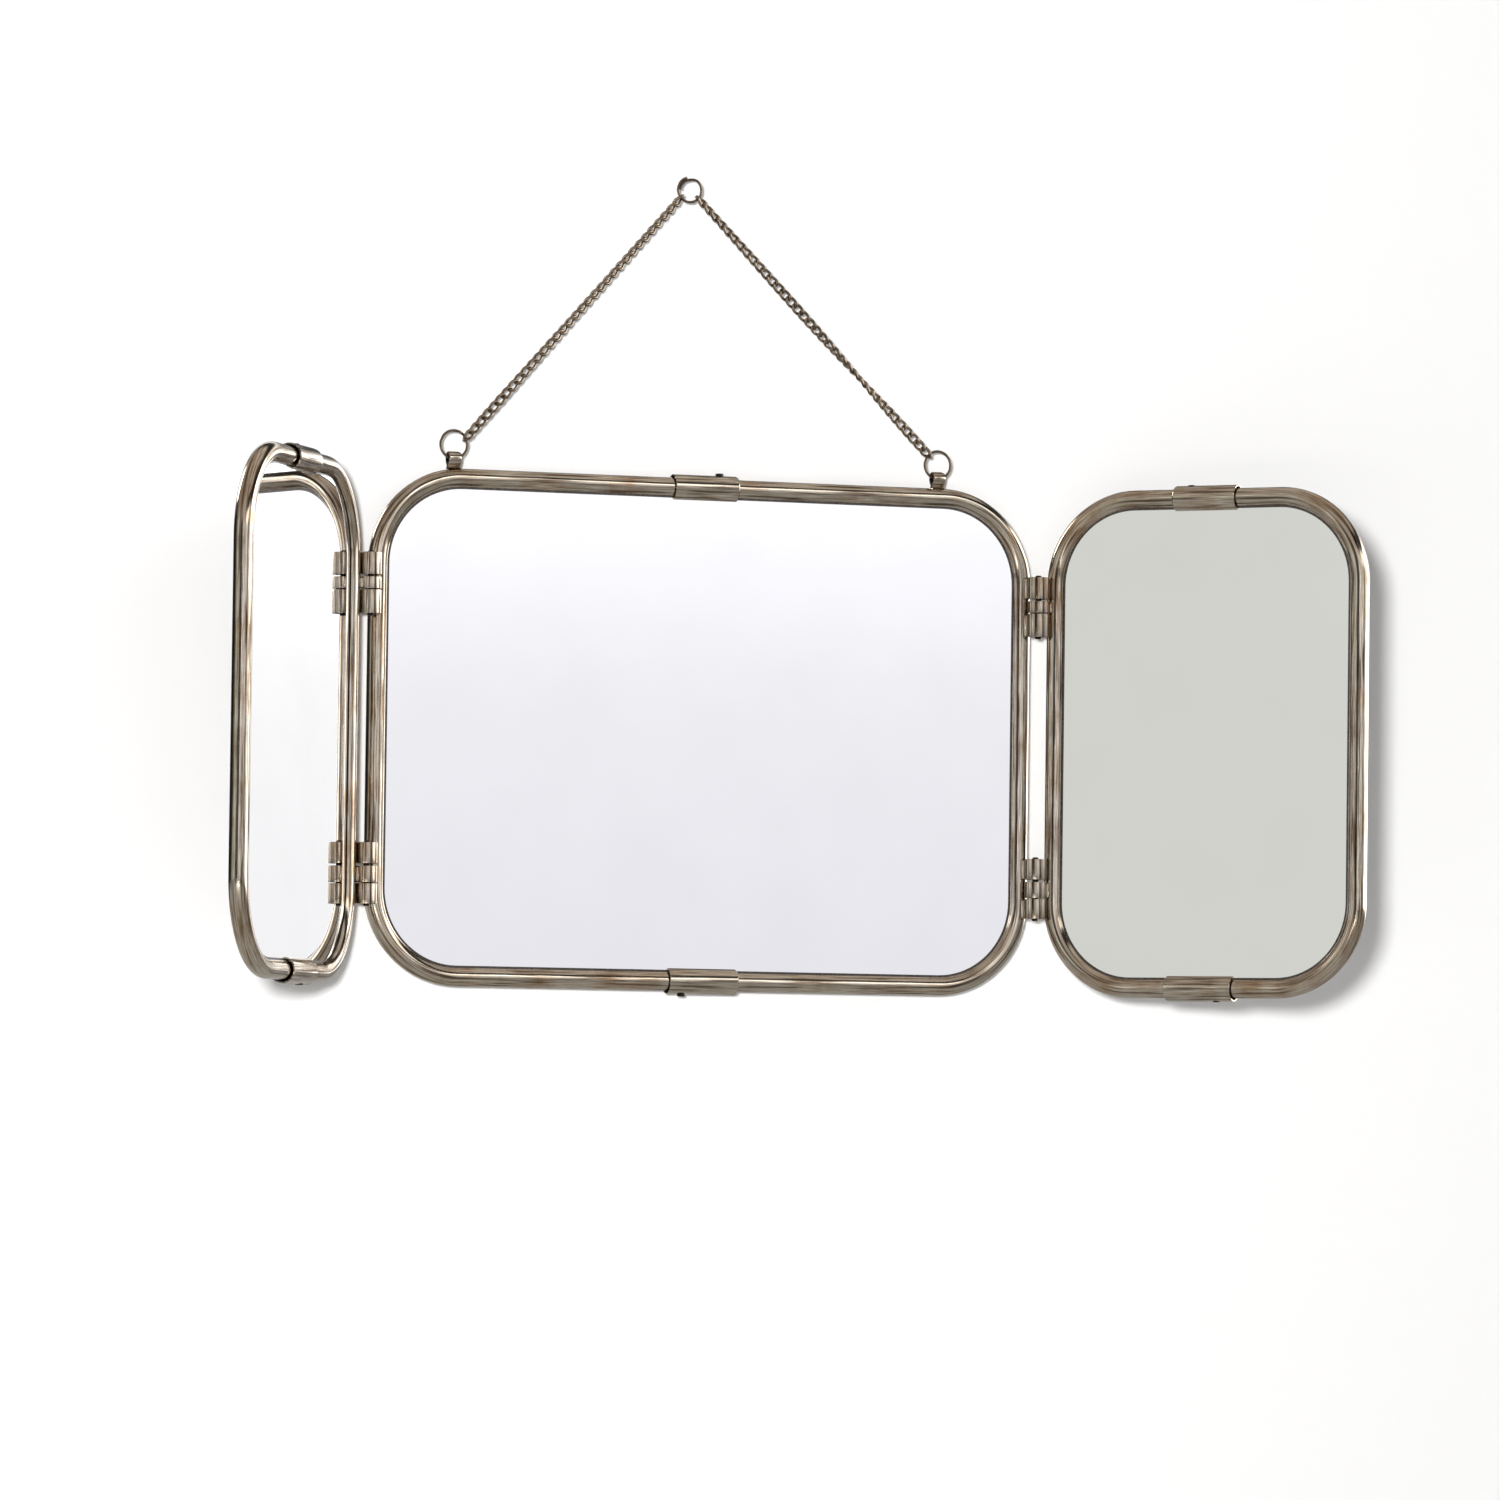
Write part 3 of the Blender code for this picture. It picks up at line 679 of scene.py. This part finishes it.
def cut_away(piece, work):
    """Takes a closed shape out of a piece and leaves the result as its mesh."""
    mesh = bpy.data.meshes.new("cut")
    work.to_mesh(mesh)
    work.free()
    tool = bpy.data.objects.new("cut", mesh)
    bpy.context.scene.collection.objects.link(tool)
    cut = piece.modifiers.new("Cut", "BOOLEAN")
    cut.operation = "DIFFERENCE"
    cut.solver = "EXACT"
    cut.object = tool
    bpy.context.view_layer.update()
    shaped = piece.evaluated_get(bpy.context.evaluated_depsgraph_get())
    result = bpy.data.meshes.new_from_object(shaped)
    piece.modifiers.clear()
    piece.data = result
    bpy.data.objects.remove(tool, do_unlink=True)


def wire_ring(word, size, start, overlap):
    """A wire ring. With an overlap its end runs on inside its own start, like a split ring."""
    name = f"ring_{word}"
    low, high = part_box(name)
    centre = (low + high) / 2
    thick = size.ring_wire / 2
    radius = (high.x - low.x) / 2 - thick
    points = []
    sweep = 360 + (overlap or -RING_GAP)
    for i in range(RING_STEPS + 1):
        turned = sweep * i / RING_STEPS
        blend = min(max((turned - PULL_START) / PULL_RUN, 0), 1) if overlap else 0
        near = radius - 2 * thick * 0.98 * blend * blend * (3 - 2 * blend)
        angle = math.radians(start + turned)
        points.append(centre + Vector((math.cos(angle), 0, math.sin(angle))) * near)
    work = bmesh.new()
    wire(work, points, thick, False)
    finish_piece(f"{word}_wire_ring", work, "dark_bronzed_wire", "hanger", [name])


def curb_chain(word, hooks, first_turn, last_turn, ease, size):
    """Twisted oval links that lie along one line and turn slowly about it.

    Each link is twisted a quarter turn from end to end, so it crosses the next one squarely.
    The higher the ease, the nearer to the corner ring the strand makes its turn.
    """
    top, corner = (middle_of(name) for name in ("ring_top", f"ring_{word}"))
    ends = []
    for name, centre, degrees in (("ring_top", top, hooks[0]), (f"ring_{word}", corner, hooks[1])):
        low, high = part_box(name)
        radius = (high.x - low.x) / 2 - size.ring_wire / 2
        turn = math.radians(degrees)
        ends.append(centre + Vector((math.cos(turn), 0, math.sin(turn))) * radius)
    start, end = ends
    along = (end - start).normalized()
    flat = Vector((along.z, 0, -along.x))
    thick = size.link_wire / 2
    half_length = size.link_length / 2 - thick
    half_width = size.link_width / 2 - thick
    inside = half_length - thick - size.ring_wire / 2
    run = (end - start).length - 2 * inside
    pitch = size.link_length - 2 * size.link_wire
    count = round(run / pitch) + 1
    work = bmesh.new()
    for i in range(count):
        middle = start + along * (inside + run * i / (count - 1))
        share = (i / (count - 1)) ** ease
        turn = math.radians(first_turn + (last_turn - first_turn) * share)
        points = []
        for k in range(LINK_STEPS):
            around = 2 * math.pi * k / LINK_STEPS
            forth = half_length * math.cos(around)
            aside = half_width * math.sin(around) * (1 + 0.12 * math.cos(2 * around))
            twist = turn + math.radians(45) * forth / half_length
            width = flat * math.cos(twist) + Vector((0, 1, 0)) * math.sin(twist)
            points.append(middle + along * forth + width * aside)
        twisted_wire(work, points, thick, middle)
    finish_piece(f"{word}_curb_chain", work, "bronzed_wire", "hanger", [f"chain_{word}"])


def twisted_wire(work, points, radius, middle):
    """A closed wire round a middle, with its section set out from that middle."""
    rings = []
    for i, point in enumerate(points):
        onward = (points[(i + 1) % len(points)] - points[i - 1]).normalized()
        out = point - middle
        out = (out - onward * out.dot(onward)).normalized()
        over = out.cross(onward)
        rings.append([point + out * x + over * y for x, y in circle(radius, WIRE_STEPS)])
    loft(work, rings, loop=True)


def plate_outline(width, inset):
    x = width / 2 - CORNER_RADIUS
    z = FRAME_HEIGHT / 2 - CORNER_RADIUS
    points = []
    for cx, cz, start in ((x, z, 0), (-x, z, 90), (-x, -z, 180), (x, -z, 270)):
        points += arc((cx, cz), CORNER_RADIUS - inset, start, start + 90, CORNER_STEPS)
    return points


def plate(prefix, body, width, rows, name, kind, node):
    """A rounded plate from (inset, depth) rows, front to back."""
    matrix = panel_matrix(prefix)
    rings = []
    for inset, depth in rows:
        outline = plate_outline(width, inset)
        rings.append([matrix @ Vector((p.x, depth, p.y)) for p in outline])
    work = bmesh.new()
    loft(work, rings)
    return finish_piece(name, work, kind, body, [node])


def glass(prefix, body, width):
    """Mirror glass with ground edges. Just inside the frame a brown-black margin is painted on, as
    painted shade and a painted dark reflection of the groove.
    """
    arris = 0.3 * MM
    margin = 2 * AXIS_INSET - 0.2 * MM + PAINTED_SHADE_MARGIN
    rows = ((margin, GLASS_FRONT), (PLATE_INSET + arris, GLASS_FRONT),
            (PLATE_INSET, GLASS_FRONT + arris), (PLATE_INSET, GLASS_BACK - arris),
            (PLATE_INSET + arris, GLASS_BACK))
    item = plate(prefix, body, width, rows, f"{prefix}_glass", "silvered_glass",
                 f"{prefix}_mirror")
    # the margin band and the ground edges take the painted shade and painted dark reflection
    item.data.materials.append(finish_of("glass_edge_painted_shade"))
    for face in item.data.polygons:
        if len(face.vertices) == 4:
            face.material_index = 1


def back_sheet(prefix, body, width):
    """Pressed sheet: a flat rim, a step, and a flat field that stands back a little."""
    rim = PLATE_INSET + SHEET_RIM
    field = rim + SHEET_STEP
    front = PANEL_FRONT - 0.2 * MM
    back = PANEL_BACK - 0.3 * MM
    rows = ((field, PANEL_FRONT), (rim, front), (PLATE_INSET, front), (PLATE_INSET, back),
            (rim, back), (field, PANEL_BACK))
    plate(prefix, body, width, rows, f"{prefix}_backing", "lacquered_tin",
          f"{prefix}_back_panel")


# ---- settings -------------------------------------------------------------------------------
def length(name, description, default):
    return bpy.props.FloatProperty(name=name, description=description, default=default, min=0.0,
                                   precision=5, subtype="DISTANCE", unit="LENGTH")


def hex_colour(name, description, default):
    return bpy.props.StringProperty(name=name, description=description, default=default)


class MirrorSizes(bpy.types.PropertyGroup):
    """Sizes of the small parts, in metres."""

    sleeve_radius: length("Sleeve radius", "Outside radius of the sleeves", 6.38 * MM)
    sleeve_wall: length("Sleeve wall", "Wall of the sleeves at their open end", 0.75 * MM)
    barrel_radius: length("Barrel radius", "Outside radius of the hinge barrels", 5.34 * MM)
    pin_radius: length("Pin radius", "Radius of the hinge pins", 1.5 * MM)
    seam_depth: length("Seam depth", "Depth of the seam along each barrel", 0.22 * MM)
    seam_angle: bpy.props.FloatProperty(name="Seam angle", default=-100.0,
                                        description="Where the seam of the barrels is, in degrees")
    braze_radius: length("Braze radius", "Hollow of the braze beside a barrel", 1.1 * MM)
    lug_width: length("Lug width", "Width of the folded lug strips", 6.2 * MM)
    lug_wall: length("Lug wall", "Thickness of the folded lug strips", 1.2 * MM)
    lug_eye: length("Lug eye", "Inside radius of the folded lugs", 2.2 * MM)
    ring_wire: length("Ring wire", "Thickness of the ring wire", 1.3 * MM)
    link_wire: length("Link wire", "Thickness of the chain wire", 1.45 * MM)
    link_length: length("Link length", "Outside length of a chain link", 7.75 * MM)
    link_width: length("Link width", "Outside width of a chain link", 5.5 * MM)


class MirrorLooks(bpy.types.PropertyGroup):
    """Colours of the finishes, as sRGB hex codes."""

    metal_face: hex_colour("Metal face", "Aged nickel", "b1a595")
    metal_worn: hex_colour("Metal worn", "Nickel rubbed pale by the brushing", "ddd5c7")
    metal_tarnish: hex_colour("Metal tarnish", "Brass that shows through the nickel", "937759")
    metal_stain: hex_colour("Metal stain", "Dried polish and dirt in the brush lines", "4b3a2a")
    chain_face: hex_colour("Chain face", "Bronzed wire", "8a7a69")
    chain_worn: hex_colour("Chain worn", "Bronzed wire rubbed pale", "c9bba7")
    chain_tarnish: hex_colour("Chain tarnish", "Dark bronze", "3b2d22")
    ring_face: hex_colour("Ring face", "Deep bronzed wire", "6a5e52")
    ring_tarnish: hex_colour("Ring tarnish", "Nearly black bronze", "35291f")
    metal_blur: bpy.props.FloatProperty(name="Metal blur", default=0.14, min=0.0, max=1.0,
                                        description="Roughness of the brushed tubes")


# ---- operators ------------------------------------------------------------------------------
class MIRROR_OT_tubes(bpy.types.Operator):
    """Builds the six bent half tubes of the three frames"""

    bl_idname = "mirror.tubes"
    bl_label = "Half tubes"

    def execute(self, context):
        for prefix, body, width, words, _ in PANELS:
            for word, side in zip(words, (-1, 1)):
                half_tube(prefix, body, width, word, side)
        return {"FINISHED"}


class MIRROR_OT_sleeves(bpy.types.Operator):
    """Builds the sleeves that join the half tubes, and their grub screws"""

    bl_idname = "mirror.sleeves"
    bl_label = "Sleeves and screws"

    def execute(self, context):
        for prefix, body, _, _, open_end in PANELS:
            for end in ("top", "bottom"):
                sleeve(prefix, body, end, open_end)
                grub_screw(prefix, body, end)
        return {"FINISHED"}


class MIRROR_OT_hinges(bpy.types.Operator):
    """Builds the four barrel hinges with their pins and braze"""

    bl_idname = "mirror.hinges"
    bl_label = "Hinges"

    def execute(self, context):
        size = context.scene.mirror_sizes
        for word, side in SIDES:
            for level in ("upper", "lower"):
                prefix = f"{word}_{level}_hinge"
                for part in ("top", "middle", "bottom"):
                    body = f"{word}_leaf" if part == "middle" else "centre_frame"
                    knuckle(prefix, part, body, size)
                hinge_pin(prefix, size)
                braze_hinge(prefix, side, size)
        return {"FINISHED"}


class MIRROR_OT_plates(bpy.types.Operator):
    """Builds the three mirrors and their back sheets"""

    bl_idname = "mirror.plates"
    bl_label = "Mirrors and backs"

    def execute(self, context):
        for prefix, body, width, _, _ in PANELS:
            glass(prefix, body, width)
            back_sheet(prefix, body, width)
        return {"FINISHED"}


class MIRROR_OT_hanging(bpy.types.Operator):
    """Builds the lugs, the rings and the two curb chains"""

    bl_idname = "mirror.hanging"
    bl_label = "Lugs, rings and chains"

    def execute(self, context):
        size = context.scene.mirror_sizes
        for word, start, overlap in RING_WIRES:
            if word != "top":
                lug(word, size)
            wire_ring(word, size, start, overlap)
        for strand in STRANDS:
            curb_chain(*strand, size)
        return {"FINISHED"}


# ---- stage ----------------------------------------------------------------------------------
# the camera in metres, its roll in degrees, its lens in mm
CAMERA_PLACE = Vector((-1.4114, -3.8472, -0.4673))
CAMERA_AIM = Vector((0.0302, -0.0136, -0.2800))
CAMERA_ROLL = 0.733
CAMERA_LENS = 201.4
WALL_BEHIND = 12.0 * MM
FLOOR_HEIGHT = -0.85
AMBIENT = 0.15
PEAK = 4.0
BEHIND = 0.08                    # the room behind the wall, as a share of the room in front
ABOVE_WALL = 0.75                # the same, well above and below the mirror
EVEN_SIDE = 0.25                 # sideways share of the room well above and below
WINDOW_SHARE = 0.24              # the tall window beside the mirror on the right
SIDE_ROOM = "dcddd6"             # far to the left, an even pale green-grey
# name, place, aim, width, power in watts, whether it shows in the metal
LIGHTS = (
    ("key", (-1.68, -3.80, -0.22), (0, 0, -0.27), 0.3, 150.0, False),
    ("back", (-1.8, 3.0, 1.4), (0, 0, -0.25), 1.2, 60.0, True),
)
# elevation in degrees, colour, share of the peak
HEIGHT_BANDS = (
    (-90, "d6cdbb", 0.20), (-79, "cfc4ae", 0.18), (-73, "5b4633", 0.03), (-58, "5b4633", 0.03),
    (-50, "c4b798", 0.15), (-30, "c6bba3", 0.13), (-12, "c8c4be", 0.13), (0.6, "eeeef3", 0.254),
    (3.0, "f2f2f6", 0.268), (4.9, "fbfbff", 0.325), (14, "ffffff", 0.27), (19, "ffffff", 0.85),
    (26, "ffffff", 0.85), (29, "ffffff", 0.06), (31, "ffffff", 0.012), (43, "ffffff", 0.012),
    (49, "f3ece4", 0.27), (90, "efe4da", 0.27),
)
# the same towards the left, where no row of lights hangs
LEFT_HEIGHT_BANDS = (
    (-90, "d6cdbb", 0.13), (-30, "c6bba3", 0.13), (-12, "c8c4be", 0.13), (0.6, "eeeef3", 0.254),
    (3.0, "f2f2f6", 0.268), (4.9, "fbfbff", 0.30), (18, "f6f0ec", 0.24), (40, "efe4da", 0.20),
    (90, "efe4da", 0.22),
)
# sideways part of the direction, -1 left to 1 right, colour, share of the peak
SIDE_BANDS = (
    (-1.0, "eef1eb", 0.22), (-0.88, "eef1eb", 0.26), (-0.78, "ffffff", 0.02),
    (-0.52, "ffffff", 0.02), (-0.43, "ffffff", 0.32), (-0.10, "ffffff", 0.26),
    (0.41, "ffffff", 0.25), (0.47, "ffffff", 0.05), (0.58, "ffffff", 0.05),
    (0.67, "fffffa", 0.312), (0.82, "fffffa", 0.312),
    (0.88, "ffffff", 0.90), (1.0, "ffffff", 0.90),
)


def room_colour(tree, parts, steep):
    """The room by height and by side, with an even pale room at the far left."""
    height = add_node(tree, "ShaderNodeMapRange", {"Value": parts.outputs[2], "From Min": -1.0})
    side = add_node(tree, "ShaderNodeMapRange", {"Value": parts.outputs[0], "From Min": -1.0})
    lit, unlit = (ramp(tree, height.outputs[0],
                       [((math.sin(math.radians(a)) + 1) / 2, c, s) for a, c, s in bands])
                  for bands in (HEIGHT_BANDS, LEFT_HEIGHT_BANDS))
    towards_lights = add_node(tree, "ShaderNodeMapRange",
                              {"Value": parts.outputs[0], "From Min": -0.05, "From Max": 0.12})
    up = add_node(tree, "ShaderNodeMix", {0: towards_lights.outputs[0], 6: unlit.outputs[0],
                                          7: lit.outputs[0]}, data_type="RGBA")
    across = ramp(tree, side.outputs[0], [((a + 1) / 2, c, s) for a, c, s in SIDE_BANDS])
    # well above and well below, the room is the same on every side
    sideways = add_node(tree, "ShaderNodeMix",
                        {0: steep.outputs[0], 6: across.outputs[0],
                         7: (EVEN_SIDE, EVEN_SIDE, EVEN_SIDE, 1.0)}, data_type="RGBA")
    room = add_node(tree, "ShaderNodeMix", {0: 1.0, 6: up.outputs[2], 7: sideways.outputs[2]},
                    data_type="RGBA", blend_type="MULTIPLY")
    left = add_node(tree, "ShaderNodeMapRange",
                    {"Value": parts.outputs[0], "From Min": -0.90, "From Max": -0.94})
    even = [channel / PEAK ** 2 for channel in colour(SIDE_ROOM)[:3]]
    return add_node(tree, "ShaderNodeMix", {0: left.outputs[0], 6: room.outputs[2],
                                            7: (*even, 1.0)}, data_type="RGBA")


def room_depth(tree, parts, steep):
    """Full light in front of the wall, little behind it, and nearly even well above and below."""
    front = add_node(tree, "ShaderNodeMapRange",
                     {"Value": parts.outputs[1], "From Min": 0.05, "From Max": 0.35,
                      "To Min": 1.0, "To Max": BEHIND})
    return add_node(tree, "ShaderNodeMix",
                    {0: steep.outputs[0], 2: front.outputs[0], 3: ABOVE_WALL}, data_type="FLOAT")


def window_place(tree, parts, slope):
    """1 towards the tall window beside the mirror on the right, and 0 elsewhere."""
    right = add_node(tree, "ShaderNodeMapRange",
                     {"Value": parts.outputs[0], "From Min": 0.48, "From Max": 0.62})
    beside = add_node(tree, "ShaderNodeMapRange",
                      {"Value": parts.outputs[1], "From Min": -0.58, "From Max": -0.50})
    corner = add_node(tree, "ShaderNodeMath", {0: right.outputs[0], 1: beside.outputs[0]},
                      operation="MULTIPLY")
    level = add_node(tree, "ShaderNodeMapRange",
                     {"Value": slope.outputs[0], "From Min": 0.30, "From Max": 0.12})
    return add_node(tree, "ShaderNodeMath", {0: corner.outputs[0], 1: level.outputs[0]},
                    operation="MULTIPLY")


def shine(tree, deep):
    """The background seen directly is white. Painted surfaces get less of the room than metal."""
    path = add_node(tree, "ShaderNodeLightPath")
    seen = add_node(tree, "ShaderNodeMix",
                    {0: path.outputs["Is Camera Ray"], 6: deep.outputs[2],
                     7: (1 / PEAK ** 2, 1 / PEAK ** 2, 1 / PEAK ** 2, 1.0)}, data_type="RGBA")
    power = add_node(tree, "ShaderNodeMapRange",
                     {"Value": path.outputs["Is Diffuse Ray"], "To Min": PEAK ** 2,
                      "To Max": PEAK ** 2 * AMBIENT})
    light = add_node(tree, "ShaderNodeBackground",
                     {"Color": seen.outputs[2], "Strength": power.outputs[0]})
    add_node(tree, "ShaderNodeOutputWorld", {"Surface": light.outputs[0]})


def studio_world():
    """A soft white room with a row of lights in front and above, and a window on the right."""
    world = bpy.data.worlds.new("studio")
    bpy.context.scene.world = world
    world.use_nodes = True
    tree = world.node_tree
    tree.nodes.clear()
    place = add_node(tree, "ShaderNodeTexCoord")
    parts = add_node(tree, "ShaderNodeSeparateXYZ", {0: place.outputs["Generated"]})
    slope = add_node(tree, "ShaderNodeMath", {0: parts.outputs[2]}, operation="ABSOLUTE")
    steep = add_node(tree, "ShaderNodeMapRange",
                     {"Value": slope.outputs[0], "From Min": 0.28, "From Max": 0.50})
    walls = room_colour(tree, parts, steep)
    depth = room_depth(tree, parts, steep)
    shade = add_node(tree, "ShaderNodeVectorMath",
                     {0: walls.outputs[2], "Scale": depth.outputs[0]}, operation="SCALE")
    window = window_place(tree, parts, slope)
    glare = (WINDOW_SHARE, WINDOW_SHARE, WINDOW_SHARE, 1.0)
    deep = add_node(tree, "ShaderNodeMix",
                    {0: window.outputs[0], 6: shade.outputs[0], 7: glare}, data_type="RGBA")
    shine(tree, deep)


def sheet_of(name, corners, material):
    mesh = bpy.data.meshes.new(name)
    mesh.from_pydata(corners, [], [tuple(range(len(corners)))])
    mesh.materials.append(material)
    item = bpy.data.objects.new(name, mesh)
    bpy.context.scene.collection.objects.link(item)
    return item


def wall():
    """The wall is one-sided: from behind it isn't there, so that the mirror's back can be seen."""
    material, tree, paint = plain_paint("wall_paint", "f2f2f2")
    side = add_node(tree, "ShaderNodeNewGeometry")
    clear = add_node(tree, "ShaderNodeBsdfTransparent")
    shader = add_node(tree, "ShaderNodeMixShader",
                      {0: side.outputs["Backfacing"], 1: paint.outputs[0], 2: clear.outputs[0]})
    close_material(tree, shader)
    reach = 6.0
    corners = [(-reach, WALL_BEHIND, FLOOR_HEIGHT), (reach, WALL_BEHIND, FLOOR_HEIGHT),
               (reach, WALL_BEHIND, reach), (-reach, WALL_BEHIND, reach)]
    item = sheet_of("wall", corners, material)
    item.visible_diffuse = False
    item.visible_glossy = False
    item.visible_transmission = False
    item.visible_shadow = False


def floor():
    material, tree, paint = plain_paint("floor_paint", "ececea")
    close_material(tree, paint)
    reach = 8.0
    corners = [(-reach, -reach, FLOOR_HEIGHT), (reach, -reach, FLOOR_HEIGHT),
               (reach, reach, FLOOR_HEIGHT), (-reach, reach, FLOOR_HEIGHT)]
    sheet_of("floor", corners, material)


def soft_light(name, place, aim, width, power, in_metal):
    """A round soft light. in_metal says whether it shows as a highlight on the metal."""
    light = bpy.data.lights.new(name, "AREA")
    light.shape = "DISK"
    light.size = width
    light.energy = power
    item = bpy.data.objects.new(name, light)
    bpy.context.scene.collection.objects.link(item)
    item.location = place
    item.rotation_mode = "QUATERNION"
    item.rotation_quaternion = (Vector(aim) - Vector(place)).to_track_quat("-Z", "Y")
    item.visible_glossy = in_metal


def camera():
    lens = bpy.data.cameras.new("camera")
    lens.lens = CAMERA_LENS
    lens.sensor_width = 36.0
    lens.clip_start = 0.1
    lens.clip_end = 100.0
    item = bpy.data.objects.new("camera", lens)
    bpy.context.scene.collection.objects.link(item)
    item.location = CAMERA_PLACE
    item.rotation_mode = "QUATERNION"
    look = (CAMERA_AIM - CAMERA_PLACE).to_track_quat("-Z", "Y")
    item.rotation_quaternion = look @ Quaternion((0, 0, 1), math.radians(CAMERA_ROLL))
    bpy.context.scene.camera = item


class MIRROR_OT_stage(bpy.types.Operator):
    """Sets up the pale wall and floor, the soft light and the camera"""

    bl_idname = "mirror.stage"
    bl_label = "Stage"

    def execute(self, context):
        context.scene.view_settings.view_transform = "Standard"
        studio_world()
        wall()
        floor()
        for light in LIGHTS:
            soft_light(*light)
        camera()
        return {"FINISHED"}


class MIRROR_PT_panel(bpy.types.Panel):
    """Lists the sizes, the colours and the steps"""

    bl_idname = "MIRROR_PT_panel"
    bl_label = "Triptych mirror"
    bl_space_type = "VIEW_3D"
    bl_region_type = "UI"
    bl_category = "Mirror"

    def draw(self, context):
        for group in (context.scene.mirror_sizes, context.scene.mirror_looks):
            for name in group.__annotations__:
                self.layout.prop(group, name)
        for step in STEPS:
            self.layout.operator(step.bl_idname)


STEPS = (MIRROR_OT_tubes, MIRROR_OT_sleeves, MIRROR_OT_hinges, MIRROR_OT_plates,
         MIRROR_OT_hanging, MIRROR_OT_stage)
CLASSES = (MirrorSizes, MirrorLooks, *STEPS, MIRROR_PT_panel)


def register():
    for item in CLASSES:
        bpy.utils.register_class(item)
    bpy.types.Scene.mirror_sizes = bpy.props.PointerProperty(type=MirrorSizes)
    bpy.types.Scene.mirror_looks = bpy.props.PointerProperty(type=MirrorLooks)


def unregister():
    del bpy.types.Scene.mirror_looks
    del bpy.types.Scene.mirror_sizes
    for item in reversed(CLASSES):
        bpy.utils.unregister_class(item)


def main():
    register()
    bpy.ops.mirror.tubes()
    bpy.ops.mirror.sleeves()
    bpy.ops.mirror.hinges()
    bpy.ops.mirror.plates()
    bpy.ops.mirror.hanging()
    bpy.ops.mirror.stage()


if __name__ == "__main__":
    main()
